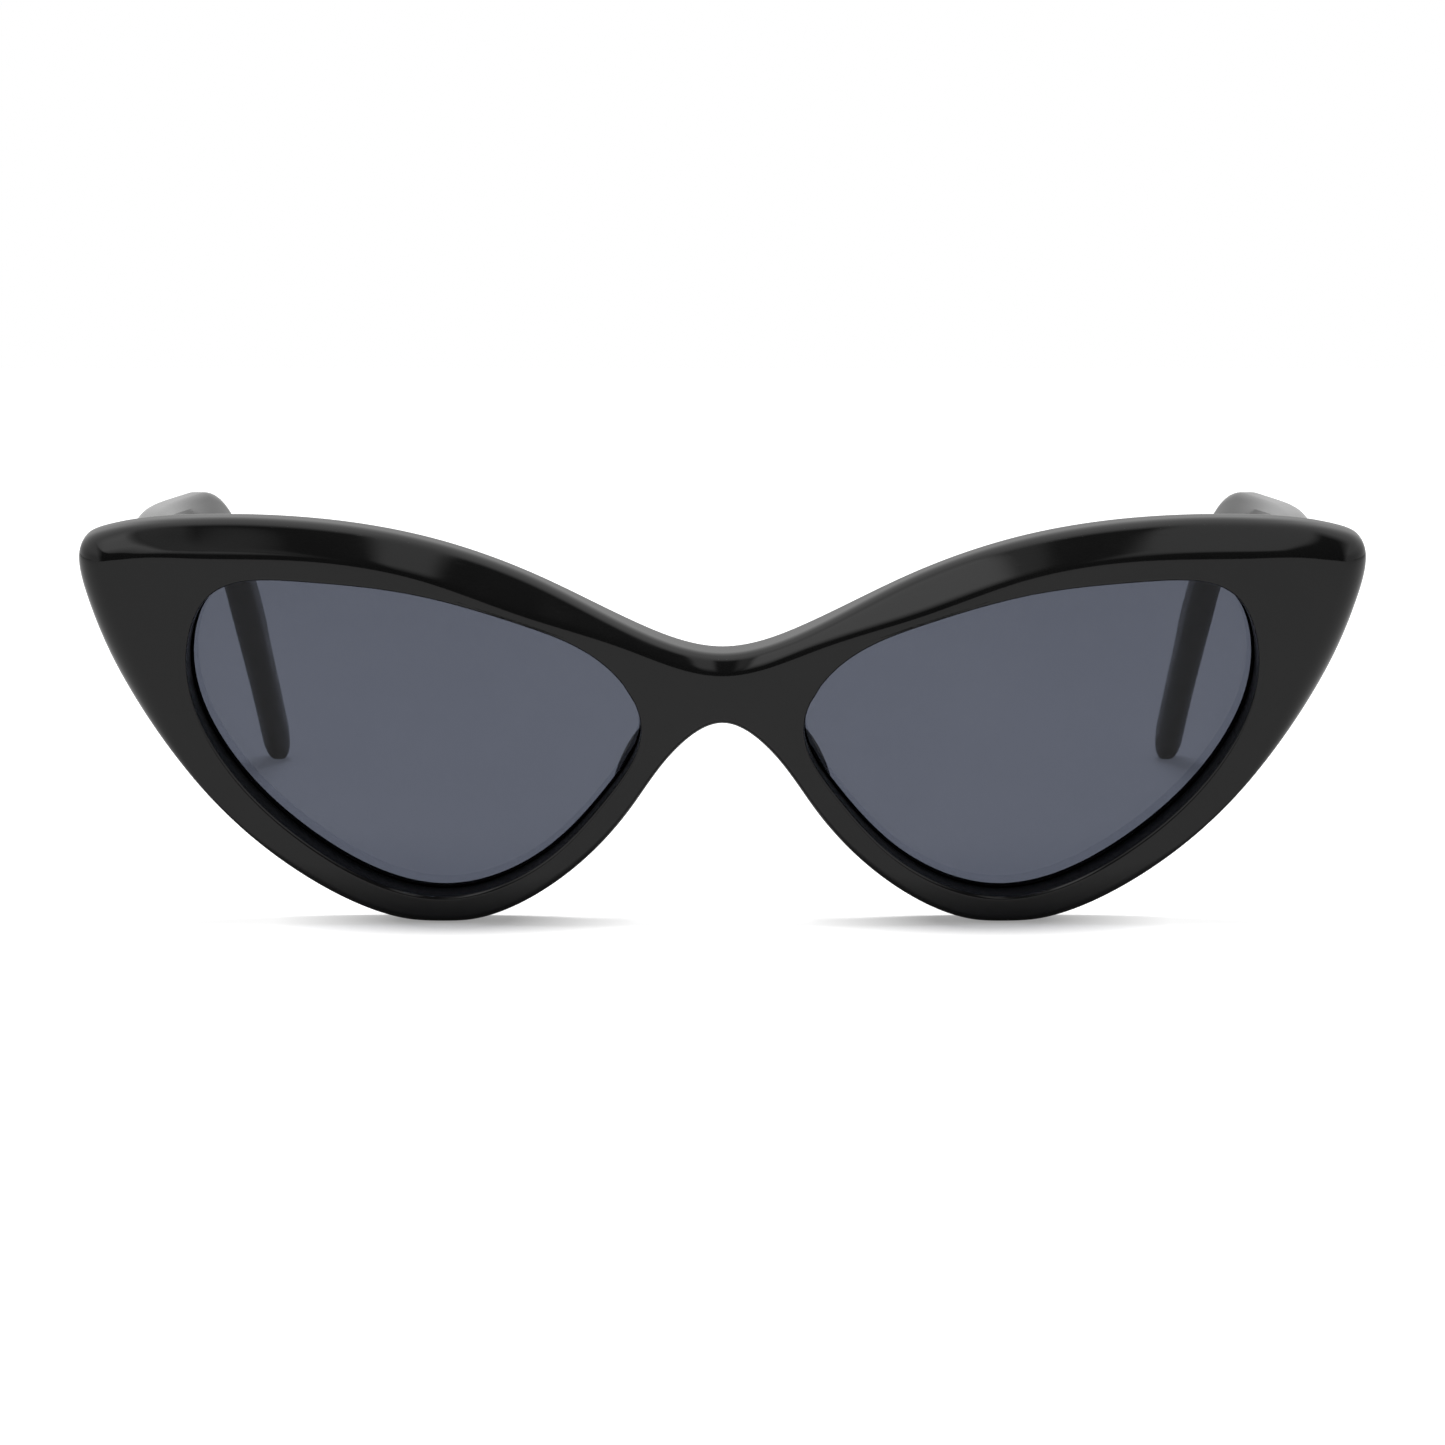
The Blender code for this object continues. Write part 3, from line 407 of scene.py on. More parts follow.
def outer_outline():
    """Left half of the outer outline from the top of the bridge to the arch under it."""
    rows = [(0.0, BRIDGE_ARCH + BRIDGE_BAR - BRIDGE_FIT, BRIDGE_BEVEL, BROW_CREASE)]
    for name, degrees, width, edge, crease in RIM_STATIONS:
        across, up = rim_point(name, degrees, width)
        rows.append((across, up, edge, crease))
    rows.append((0.0, BRIDGE_ARCH, RIM_ROUND, 0.0))
    mirrored = [(-row[0],) + tuple(row[1:]) for row in reversed(rows[1:-1])]
    half = spline(rows + mirrored, 2, True)[:(len(rows) - 1) * CURVE_STEPS + 1]
    half[0, 0] = 0.0
    half[-1, 0] = 0.0
    curve = with_normals(half)
    curve[0, 4:] = 0.0, 1.0
    curve[-1, 4:] = 0.0, -1.0
    soften_normals(curve)
    picked = share_out(curve, OUTLINE_STEPS)
    picked[:, 3] = np.clip(picked[:, 3], 0.0, 1.0)
    return picked


def lens_at(outline, points):
    """Points of the lens outline on the lines from the lens centre to the given points."""
    centre = np.array([BRIDGE_WIDTH + LENS_WIDTH, 2 * RIM_LOW + LENS_HEIGHT]) / 2
    own = np.arctan2(*(outline[:, :2] - centre).T[::-1])
    wanted = np.arctan2(*(points - centre).T[::-1])
    return np.column_stack(
        [np.interp(wanted, own, column, period=2 * math.pi) for column in outline.T]
    )


def how_far_back(across, depth):
    """Distance that the face curve puts a point behind the middle of the front."""
    return FACE_RADIUS - (FACE_RADIUS - depth) * math.cos(across / FACE_RADIUS)


# Drop that sets the rims on the floor with a small flat under each
REST_DROP = REST_FLAT + math.sin(TILT) * how_far_back(
    lens_point("bottom")[0], RIM_ROUND * BEVEL_STEEPNESS
)


def on_front(across, up, depth):
    """Place of a flat point of the front once it is bent round the face, tilted and stood up."""
    back = how_far_back(across, depth)
    x = (FACE_RADIUS - depth) * math.sin(across / FACE_RADIUS)
    y = back * math.cos(TILT) - up * math.sin(TILT)
    z = back * math.sin(TILT) + up * math.cos(TILT)
    return Vector((x, y, z - REST_DROP))


def back_face(x, z):
    """Y of the back of the front above a place x, at height z."""
    back = FACE_RADIUS - math.sqrt((FACE_RADIUS - FRONT_THICKNESS) ** 2 - x ** 2)
    return back / math.cos(TILT) - (z + REST_DROP) * math.tan(TILT)


def across_of(x):
    """Flat place across of a point on the back of the front."""
    return FACE_RADIUS * math.asin(x / (FACE_RADIUS - FRONT_THICKNESS))


# Places worked out from the sizes above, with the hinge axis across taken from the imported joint
HINGE = Vector(next(joint for joint in frame["joints"] if joint["child"] == "left_temple")["pos_m"])
OUTER = outer_outline()
LENS_EDGE = lens_outline()
LENS_TOP = RIM_LOW + LENS_HEIGHT
AXIS_X = HINGE.x
TEMPLE_IN_X = AXIS_X + KNUCKLE_RADIUS + KNUCKLE_CLEARANCE
TEMPLE_OUT_X = TEMPLE_IN_X + TEMPLE_THICKNESS
AXIS_Z = on_front(across_of(AXIS_X), LENS_TOP - HINGE_BELOW_LENS_TOP, FRONT_THICKNESS).z
PITCH = KNUCKLE_HEIGHT + KNUCKLE_GAP
STACK = KNUCKLE_COUNT * PITCH - KNUCKLE_GAP
AXIS_Y = back_face(AXIS_X + KNUCKLE_RADIUS, AXIS_Z - STACK / 2) + KNUCKLE_RADIUS + KNUCKLE_CLEARANCE
AXIS = Vector((AXIS_X, AXIS_Y, AXIS_Z))
SHIFT = Vector((0.0, HINGE.y - AXIS_Y, 0.0))
TIP_ROUND = TEMPLE_HEIGHT_TIP / 2
BEND_LENGTH = BEND_RADIUS * DROP_ANGLE
BEND_FALL = BEND_RADIUS * (1 - math.cos(DROP_ANGLE))
DROP_LENGTH = (AXIS_Z - BEND_FALL - TIP_ROUND + REST_FLAT) / math.sin(DROP_ANGLE) + TIP_ROUND
TEMPLE_END = TEMPLE_TO_BEND + BEND_LENGTH + DROP_LENGTH


def above_table(z):
    """Height that keeps a worn, slightly rounded foot above the surface that the glasses stand on."""
    return (z + math.sqrt(z ** 2 + FOOT_SOFT ** 2)) / 2


def ring(mesh, flat, depths):
    """Adds a row of vertices on the front, none of them below the surface that it stands on."""
    depths = np.broadcast_to(depths, len(flat))
    places = [on_front(*spot, depth) for spot, depth in zip(flat, depths)]
    return [mesh.verts.new((place.x, place.y, above_table(place.z))) for place in places]


def skin(mesh, first, second, closed):
    """Faces between two rows of vertices."""
    count = len(first)
    for k in range(count if closed else count - 1):
        n = (k + 1) % count
        mesh.faces.new((first[k], first[n], second[n], second[k]))


def skin_all(mesh, rows, closed):
    """Faces between each two rows that follow each other."""
    for first, second in zip(rows, rows[1:]):
        skin(mesh, first, second, closed)


def fan(mesh, row, tip):
    """Triangles from a closed row of vertices to one vertex."""
    for first, second in zip(row, row[1:] + row[:1]):
        mesh.faces.new((second, first, tip))


def arc(steps):
    """Sine and cosine at even turns over a quarter circle."""
    turns = np.linspace(0, math.pi / 2, steps + 1)
    return list(zip(np.sin(turns), np.cos(turns)))


def edge_depth(share, crease):
    """Depth of the front's outer edge as a share of its full depth: a bevel or a rounding."""
    rounded = 1 - np.sqrt(1 - share ** 2)
    return crease * share + (1 - crease) * rounded


def buffed_edge(edge, crease):
    """Inset and depth along the front's outer edge, from the face to the back, with buffed corners."""
    turn = np.linspace(0, math.pi, EDGE_SAMPLES)
    share = (1 - np.cos(turn)) / 2
    steepness = np.interp(crease, [0, BROW_CREASE], [ROUND_STEEPNESS, BEVEL_STEEPNESS])
    bevel = np.column_stack([edge * (1 - share), edge * steepness * edge_depth(share, crease)])
    buff = FACE_BUFF * crease
    face = np.array([[edge + 2 * buff, 0.0]])
    wall = np.array([[0.0, FRONT_THICKNESS - BACK_ROUND]])
    corners = np.vstack([face, bevel, wall])
    travel = distances(corners)
    # buffing wears the top edge more than the crease and the far ends not at all
    marks = np.linspace(0, travel[-1], EDGE_STEPS)
    top = travel[-2]
    reach = np.interp(marks, [top / 2, top], [buff, TOP_BUFF])
    return averaged(corners, travel, marks, reach)


def front_half():
    """Left half of the front, open at the middle where the other half joins it."""
    mesh = bmesh.new()
    point, normal = OUTER[:, :2], OUTER[:, 4:]
    edges = np.array([buffed_edge(edge, crease) for edge, crease in OUTER[:, 2:4]])
    fold = point - edges[:, :1, 0] * normal
    inset = point - BACK_ROUND * normal
    seam_share = np.linspace(0, 1, SEAM_STEPS + 2)[1:-1, None]
    limit = np.vstack([fold, fold[-1] * (1 - seam_share) + fold[0] * seam_share])
    back_limit = np.vstack([inset, inset[-1] * (1 - seam_share) + inset[0] * seam_share])
    lens = lens_at(LENS_EDGE, np.vstack([point, limit[OUTLINE_STEPS:]]))
    opening, out = lens[:, :2], lens[:, 2:]
    inner = opening + OPENING_ROUND * out
    # front face from the lens opening to the bevel
    face_rows = []
    for rise, run in arc(ARC_STEPS):
        place = opening + OPENING_ROUND * (1 - run) * out
        face_rows.append(ring(mesh, place, OPENING_ROUND * (1 - rise)))
    span = limit - inner
    step = SUPPORT * span / np.linalg.norm(span, axis=1)[:, None]
    for place in (inner + step, (inner + limit) / 2, limit):
        face_rows.append(ring(mesh, place, 0.0))
    # bevel or rounding, outer wall and back rounding
    rows = [face_rows[-1][:OUTLINE_STEPS]]
    for k in range(1, EDGE_STEPS):
        rows.append(ring(mesh, point - edges[:, k, :1] * normal, edges[:, k, 1]))
    wall_end = FRONT_THICKNESS - BACK_ROUND
    for rise, run in arc(ARC_STEPS)[1:-1]:
        place = point - BACK_ROUND * (1 - run) * normal
        rows.append(ring(mesh, place, wall_end + BACK_ROUND * rise))
    # back face, and the grooved wall of the opening
    span = inner - back_limit
    step = SUPPORT * span / np.linalg.norm(span, axis=1)[:, None]
    back_rows = [ring(mesh, back_limit, FRONT_THICKNESS)]
    rows.append(back_rows[0][:OUTLINE_STEPS])
    for place in (back_limit + step, (inner + back_limit) / 2, inner - step):
        back_rows.append(ring(mesh, place, FRONT_THICKNESS))
    for rise, run in arc(ARC_STEPS):
        place = opening + OPENING_ROUND * (1 - rise) * out
        back_rows.append(ring(mesh, place, FRONT_THICKNESS - OPENING_ROUND * (1 - run)))
    wall_rows = [
        back_rows[-1],
        ring(mesh, opening, LENS_DEPTH + GROOVE_HALF),
        ring(mesh, opening + GROOVE_DEPTH * out, LENS_DEPTH),
        ring(mesh, opening, LENS_DEPTH - GROOVE_HALF),
        ring(mesh, opening, OPENING_ROUND + SUPPORT),
        face_rows[0],
    ]
    skin_all(mesh, face_rows, True)
    skin_all(mesh, rows, False)
    skin_all(mesh, back_rows, True)
    polished = len(mesh.faces)
    skin_all(mesh, wall_rows, True)
    mesh.faces.ensure_lookup_table()
    for face in mesh.faces[polished:]:
        face.material_index = WALL_AND_LENS_SHADE_SLOT
    return mesh


def front_solid():
    """Whole front: the left half and its mirror image, joined at the middle."""
    mesh = front_half()
    everything = mesh.verts[:] + mesh.edges[:] + mesh.faces[:]
    bmesh.ops.mirror(mesh, geom=everything, axis="X", merge_dist=WELD)
    bmesh.ops.recalc_face_normals(mesh, faces=mesh.faces[:])
    return mesh


def lens_solid():
    """Domed lens with a bevelled edge that sits in the groove."""
    mesh = bmesh.new()
    edge = share_out(LENS_EDGE, LENS_STEPS + 1)[:-1]
    middle = edge[:, :2].mean(axis=0)
    rim = edge[:, :2] - LENS_FIT * edge[:, 2:]
    apex = edge[:, :2] + (GROOVE_DEPTH - LENS_FIT) * edge[:, 2:]
    half = LENS_THICKNESS / 2
    shares = np.linspace(0, 1, LENS_RINGS + 1)[1:]

    def domed_row(share, offset):
        bulge = LENS_DOME * (1 - share ** 2)
        return ring(mesh, middle + share * (rim - middle), LENS_DEPTH + offset - bulge)

    rows = [domed_row(share, -half) for share in shares]
    rows.append(ring(mesh, apex, LENS_DEPTH))
    rows += [domed_row(share, half) for share in shares[::-1]]
    skin_all(mesh, rows, True)
    # the bevelled edge takes the dark wall finish as painted shade, so that the margin of the lens shows no
    # bright band
    edge_start = (LENS_RINGS - 1) * LENS_STEPS
    edge_end = (LENS_RINGS + 1) * LENS_STEPS
    mesh.faces.ensure_lookup_table()
    for face in mesh.faces[edge_start:edge_end]:
        face.material_index = WALL_AND_LENS_SHADE_SLOT
    for row, depth in ((rows[0], -half), (rows[-1][::-1], half)):
        fan(mesh, row, mesh.verts.new(on_front(*middle, LENS_DEPTH + depth - LENS_DOME)))
    return mesh


def pad_solid():
    """Nose pad: a dome on the back of the nose side of the rim, leaning away from the nose."""
    mesh = bmesh.new()
    low = rim_middle("nose_side")
    high = rim_middle("nasal")
    middle = (low + high) / 2
    along = (high - low) / np.linalg.norm(high - low)
    away = np.array([along[1], -along[0]])
    turn = np.linspace(0, 2 * math.pi, PAD_STEPS, endpoint=False)[:, None]
    oval = PAD_LENGTH / 2 * np.cos(turn) * along + PAD_WIDTH / 2 * np.sin(turn) * away
    rows = []
    for rise, size in arc(PAD_RINGS)[:-1]:
        flat = middle + size * oval + PAD_SPLAY * rise ** 2 * away
        rows.append(ring(mesh, flat, FRONT_THICKNESS + FIT + rise * PAD_HEIGHT))
    skin_all(mesh, rows, True)
    mesh.faces.new(rows[0][::-1])
    crown = on_front(*(middle + PAD_SPLAY * away), FRONT_THICKNESS + FIT + PAD_HEIGHT)
    fan(mesh, rows[-1][::-1], mesh.verts.new(crown))
    return mesh


def flat_box(across, up, depth):
    """Box on the front, given as ranges of flat place and depth."""
    mesh = bmesh.new()
    flat = [(across[0], up[0]), (across[1], up[0]), (across[1], up[1]), (across[0], up[1])]
    rows = [ring(mesh, flat, depth[0]), ring(mesh, flat, depth[1])]
    skin(mesh, rows[0], rows[1], True)
    mesh.faces.new(rows[0][::-1])
    mesh.faces.new(rows[1])
    return mesh


def box(x, y, z):
    """Box given as ranges of x, y and z."""
    mesh = bmesh.new()
    bmesh.ops.create_cube(mesh, size=1.0)
    for vert in mesh.verts:
        for axis, (low, high) in enumerate((x, y, z)):
            vert.co[axis] = (low + high) / 2 + vert.co[axis] * (high - low)
    return mesh


def turned(profile, steps, place):
    """Solid turned from (radius, height) pairs, from its lower end up; place puts it in the part."""
    mesh = bmesh.new()
    rows = []
    for radius, height in profile:
        row = []
        for k in range(steps):
            turn = 2 * math.pi * k / steps
            row.append(mesh.verts.new(place(radius * math.cos(turn), radius * math.sin(turn), height)))
        rows.append(row)
    skin_all(mesh, rows, True)
    mesh.faces.new(rows[0][::-1])
    mesh.faces.new(rows[-1])
    return mesh


def knuckle(bottom, seat, toward):
    """One knuckle: a barrel on the axis with a web out to its seat on the front or the temple."""
    mesh = bmesh.new()
    outline = []
    for k in range(ROUND_STEPS // 2 + 1):
        turn = math.pi * k / (ROUND_STEPS // 2)
        outline.append((KNUCKLE_RADIUS * math.cos(turn), KNUCKLE_RADIUS * math.sin(turn)))
    outline += [(-KNUCKLE_RADIUS, -seat), (KNUCKLE_RADIUS, -seat)]
    row = []
    for side, reach in outline:
        if toward == "front":
            place = (AXIS_X + side, AXIS_Y + reach, bottom)
        else:
            place = (AXIS_X - reach, AXIS_Y + side, bottom)
        row.append(mesh.verts.new(place))
    face = mesh.faces.new(row)
    face.normal_flip()
    top = bmesh.ops.extrude_face_region(mesh, geom=[face])["geom"]
    lift = [item for item in top if isinstance(item, bmesh.types.BMVert)]
    bmesh.ops.translate(mesh, verts=lift, vec=(0, 0, KNUCKLE_HEIGHT))
    return mesh


def gather(meshes):
    """Puts several separate solids in one mesh."""
    whole = bmesh.new()
    for mesh in meshes:
        data = bpy.data.meshes.new("gathered")
        mesh.to_mesh(data)
        whole.from_mesh(data)
        bpy.data.meshes.remove(data)
        mesh.free()
    return whole


def knuckle_bottoms(first):
    """Heights of every second knuckle, counted from the bottom of the stack."""
    return [AXIS_Z - STACK / 2 + k * PITCH for k in range(first, KNUCKLE_COUNT, 2)]


def front_knuckles():
    """Knuckles of the front leaf, one more than the temple's."""
    solids = []
    for bottom in knuckle_bottoms(0):
        leaf_middle = back_face(AXIS_X, bottom + KNUCKLE_HEIGHT / 2) - LEAF_THICKNESS / 2
        solids.append(knuckle(bottom, AXIS_Y - leaf_middle, "front"))
    return gather(solids)


def temple_knuckles():
    """Knuckles of the temple leaf, between those of the front."""
    seat = TEMPLE_IN_X - AXIS_X + LEAF_THICKNESS / 2
    return gather([knuckle(bottom, seat, "temple") for bottom in knuckle_bottoms(1)])


def around(middle, half):
    """A range to both sides of a middle."""
    return middle - half, middle + half


# Flat place of the front leaf, which reaches past the knuckles on both sides
LEAF_ACROSS = (
    across_of(AXIS_X - KNUCKLE_RADIUS - FRONT_LEAF_TAB),
    across_of(AXIS_X + KNUCKLE_RADIUS + FIT),
)
LEAF_MIDDLE = LENS_TOP - HINGE_BELOW_LENS_TOP
LEAF_UP = around(LEAF_MIDDLE, FRONT_LEAF_HEIGHT / 2)
TEMPLE_LEAF_Y = (AXIS_Y - KNUCKLE_RADIUS - FIT, AXIS_Y + TEMPLE_LEAF_LENGTH)


def wider(span, margin):
    """A range with a margin at both ends."""
    return span[0] - margin, span[1] + margin


def front_leaf():
    """Plate of the front leaf, flush with the back of the end piece."""
    return flat_box(LEAF_ACROSS, LEAF_UP, (FRONT_THICKNESS - LEAF_THICKNESS, FRONT_THICKNESS))


def front_pocket():
    """Recess in the end piece for the front leaf."""
    depth = (FRONT_THICKNESS - LEAF_THICKNESS - FIT, FRONT_THICKNESS + LEAF_THICKNESS)
    return flat_box(wider(LEAF_ACROSS, FIT), wider(LEAF_UP, FIT), depth)


def temple_leaf():
    """Plate of the temple leaf, flush with the temple's inner face."""
    x = (TEMPLE_IN_X, TEMPLE_IN_X + LEAF_THICKNESS)
    return box(x, TEMPLE_LEAF_Y, around(AXIS_Z, TEMPLE_LEAF_HEIGHT / 2))


def temple_pocket():
    """Recess in the temple for its leaf, open at the butt end and at the inner face."""
    x = (TEMPLE_IN_X - LEAF_THICKNESS, TEMPLE_IN_X + LEAF_THICKNESS + FIT)
    y = (TEMPLE_LEAF_Y[0] - 2 * KNUCKLE_RADIUS, TEMPLE_LEAF_Y[1] + FIT)
    return box(x, y, around(AXIS_Z, TEMPLE_LEAF_HEIGHT / 2 + FIT))


def pin_profile(extra):
    """Hinge screw's shank, or its bore when extra is added."""
    radius = PIN_RADIUS + extra
    return [(radius, -STACK / 2 - extra), (radius, STACK / 2 + extra)]


def on_axis(x, y, z):
    """Places a turned shape on the hinge axis."""
    return AXIS + Vector((x, y, z))


def hinge_screw():
    """Screw with a low domed head on top of the knuckles."""
    base = STACK / 2 + KNUCKLE_GAP
    low = (PIN_RADIUS, -STACK / 2)
    neck = (PIN_RADIUS, base)
    head = [
        (PIN_HEAD_RADIUS, base),
        (PIN_HEAD_RADIUS, base + PIN_HEAD_HEIGHT / 2),
        (PIN_HEAD_TOP_RADIUS, base + PIN_HEAD_HEIGHT),
    ]
    return turned([low, neck] + head, ROUND_STEPS, on_axis)


def hinge_slot():
    """Driver slot across the hinge screw's head."""
    top = AXIS_Z + STACK / 2 + KNUCKLE_GAP + PIN_HEAD_HEIGHT
    x = around(AXIS_X, PIN_HEAD_RADIUS + FIT)
    y = around(AXIS_Y, SCREW_SLOT / 2)
    return box(x, y, (top - PIN_HEAD_HEIGHT / 2, top + PIN_HEAD_HEIGHT))


def leaf_screw_profile(extra):
    """Countersunk leaf screw from its point to its head, or its hole when extra is added."""
    shank = LEAF_SCREW_RADIUS + extra
    head = LEAF_SCREW_HEAD + extra
    profile = [(shank, -LEAF_SCREW_LENGTH - extra), (shank, -LEAF_SCREW_SINK), (head, 0.0)]
    if extra:
        profile.append((head, LEAF_THICKNESS))
    return profile


# Places of the leaf screws: above and below the knuckles, and along the temple leaf
SCREW_MARGIN = LEAF_SCREW_HEAD + 2 * FIT
FRONT_SCREWS = {
    "upper": (sum(LEAF_ACROSS) / 2, LEAF_UP[1] - SCREW_MARGIN),
    "lower": (sum(LEAF_ACROSS) / 2, LEAF_UP[0] + SCREW_MARGIN),
}
TEMPLE_SCREW_RISE = TEMPLE_LEAF_HEIGHT / 2 - SCREW_MARGIN
TEMPLE_SCREWS = {
    "front": (AXIS_Y + KNUCKLE_RADIUS + 2 * SCREW_MARGIN, AXIS_Z + TEMPLE_SCREW_RISE),
    "rear": (TEMPLE_LEAF_Y[1] - SCREW_MARGIN, AXIS_Z - TEMPLE_SCREW_RISE),
}


def front_leaf_screw(spot, extra):
    """Screw, or its hole, square to the back of the end piece."""
    across, up = FRONT_SCREWS[spot]

    def place(x, y, z):
        return on_front(across + x, up + y, FRONT_THICKNESS + z)

    return turned(leaf_screw_profile(extra), SCREW_STEPS, place)


def front_screw_slot(spot):
    """Driver slot across a front leaf screw's head."""
    across, up = FRONT_SCREWS[spot]
    wide = LEAF_SCREW_HEAD + FIT
    depth = (FRONT_THICKNESS - LEAF_SCREW_SINK / 2, FRONT_THICKNESS + LEAF_SCREW_SINK)
    return flat_box(around(across, wide), around(up, SCREW_SLOT / 2), depth)


def temple_leaf_screw(spot, extra):
    """Screw, or its hole, square to the temple's inner face."""
    along, up = TEMPLE_SCREWS[spot]

    def place(x, y, z):
        return Vector((TEMPLE_IN_X - z, along - x, up + y))

    return turned(leaf_screw_profile(extra), SCREW_STEPS, place)


def temple_screw_slot(spot):
    """Driver slot across a temple leaf screw's head."""
    along, up = TEMPLE_SCREWS[spot]
    wide = LEAF_SCREW_HEAD + FIT
    x = (TEMPLE_IN_X - LEAF_SCREW_SINK, TEMPLE_IN_X + LEAF_SCREW_SINK / 2)
    return box(x, around(along, wide), around(up, SCREW_SLOT / 2))


def temple_stations():
    """Rows along a temple: distance from the axis, outward shift, height, thickness, lean and corner."""
    ear = TEMPLE_TO_BEND + BEND_LENGTH
    lean = math.tan(TEMPLE_LEAN)
    thick = TEMPLE_THICKNESS
    tip_height = TEMPLE_HEIGHT_TIP
    corner = TEMPLE_CORNER
    tip_corner = TEMPLE_CORNER_TIP
    return [
        (-FRONT_THICKNESS, 0.0, TEMPLE_HEIGHT_BUTT, thick, 0.0, corner),
        (TEMPLE_LEAF_LENGTH, 0.0, TEMPLE_HEIGHT_BUTT, thick, 0.0, corner),
        (TEMPLE_TO_BEND / 2, TEMPLE_BOW, TEMPLE_HEIGHT_MIDDLE, thick, lean / 2, corner),
        (TEMPLE_TO_BEND - BEND_LEAD, TEMPLE_SPLAY, TEMPLE_HEIGHT_BEND, thick, lean, corner),
        (ear, TEMPLE_SPLAY - EAR_INWARD, TEMPLE_HEIGHT_BEND, thick, lean, corner),
        (ear + DROP_LENGTH / 2, TEMPLE_SPLAY - DROP_INWARD, tip_height, thick, lean, tip_corner),
        (TEMPLE_END, TEMPLE_SPLAY - TIP_INWARD, tip_height, TEMPLE_THICKNESS_TIP, lean, tip_corner),
    ]


TEMPLE_ROWS = spline(temple_stations(), 1, False)


def temple_at(distance):
    """Outward shift, height, thickness, lean and corner of a temple at a distance from the axis."""
    return [np.interp(distance, TEMPLE_ROWS[:, 0], column) for column in TEMPLE_ROWS.T[1:]]


def temple_path(distance):
    """Middle line of a temple seen from the side: y, z and the angle that it points down."""
    bend = min(max(distance - TEMPLE_TO_BEND, 0.0), BEND_LENGTH)
    fall = bend / BEND_RADIUS
    drop = max(distance - TEMPLE_TO_BEND - BEND_LENGTH, 0.0)
    y = min(distance, TEMPLE_TO_BEND) + BEND_RADIUS * math.sin(fall) + drop * math.cos(fall)
    z = BEND_RADIUS * (1 - math.cos(fall)) + drop * math.sin(fall)
    return AXIS_Y + y, AXIS_Z - z, fall


def temple_point(distance, side, rise):
    """Place in a temple: side is outward from its middle, rise is up across its height."""
    shift, _, _, lean, _ = temple_at(distance)
    y, z, fall = temple_path(distance)
    x = TEMPLE_OUT_X - TEMPLE_THICKNESS / 2 + shift + side + lean * rise
    return Vector((x, y + rise * math.sin(fall), above_table(z + rise * math.cos(fall))))


def rounded_section(width, height, corner, stretch):
    """Points of a rounded rectangle, counterclockwise from its outer side, with corners made taller."""
    points = []
    tall = corner * stretch
    for quarter, (right, up) in enumerate(((1, 1), (-1, 1), (-1, -1), (1, -1))):
        for k in range(CORNER_STEPS + 1):
            turn = math.pi / 2 * (quarter + k / CORNER_STEPS)
            side = right * (width / 2 - corner) + corner * math.cos(turn)
            rise = up * (height / 2 - tall) + tall * math.sin(turn)
            points.append((side, rise))
    return points


def temple_distances():
    """Distances along a temple where it has a section: straight, bend and drop."""
    ear = TEMPLE_TO_BEND + BEND_LENGTH
    straight = np.linspace(TEMPLE_LEAF_LENGTH, TEMPLE_TO_BEND, STRAIGHT_STEPS, endpoint=False)
    bend = np.linspace(TEMPLE_TO_BEND, ear, BEND_STEPS, endpoint=False)
    drop = np.linspace(ear, TEMPLE_END - TIP_ROUND, DROP_STEPS + 1)
    return np.concatenate([straight, bend, drop])


def temple_solid():
    """Temple with a butt end that follows the back of the front and a rounded tip."""
    mesh = bmesh.new()
    ear = TEMPLE_TO_BEND + BEND_LENGTH
    butt = []
    for side, rise in rounded_section(TEMPLE_THICKNESS, TEMPLE_HEIGHT_BUTT, TEMPLE_CORNER, 1.0):
        place = temple_point(0.0, side, rise)
        place.y = back_face(place.x, place.z) + BUTT_GAP
        butt.append(mesh.verts.new(place))
    rows = [butt]
    sections = [(distance, 1.0) for distance in temple_distances()]
    # the last rounded section lies half a step before the tip
    for k in range(1, TIP_STEPS + 1):
        turn = math.pi / 2 * k / (TIP_STEPS + 0.5)
        sections.append((TEMPLE_END - TIP_ROUND * (1 - math.sin(turn)), math.cos(turn)))
    for distance, size in sections:
        _, height, width, _, corner = temple_at(distance)
        stretch = np.interp(distance, (ear, TEMPLE_END - TIP_ROUND), (1.0, TIP_STRETCH))
        section = rounded_section(size * width, size * height, size * corner, stretch)
        rows.append([mesh.verts.new(temple_point(distance, *place)) for place in section])
    for first, second in zip(rows, rows[1:]):
        skin(mesh, second, first, True)
    mesh.faces.new(rows[0])
    fan(mesh, rows[-1], mesh.verts.new(temple_point(TEMPLE_END, 0.0, 0.0)))
    return mesh


def core(radius, start, end):
    """Round bar along the middle of a temple."""
    mesh = bmesh.new()
    middle = [distance for distance in temple_distances() if start < distance < end]
    rows = []
    for distance in [start] + middle + [end]:
        row = []
        for k in range(CORE_STEPS):
            turn = 2 * math.pi * k / CORE_STEPS
            side = CORE_OUTWARD + radius * math.cos(turn)
            row.append(mesh.verts.new(temple_point(distance, side, radius * math.sin(turn))))
        rows.append(row)
    for first, second in zip(rows, rows[1:]):
        skin(mesh, second, first, True)
    mesh.faces.new(rows[0])
    mesh.faces.new(rows[-1][::-1])
    return mesh


def core_bore():
    """Bore for the core wire, open at the butt end."""
    return core(CORE_RADIUS + FIT, -2 * FRONT_THICKNESS, TEMPLE_END - CORE_END_MARGIN + FIT)


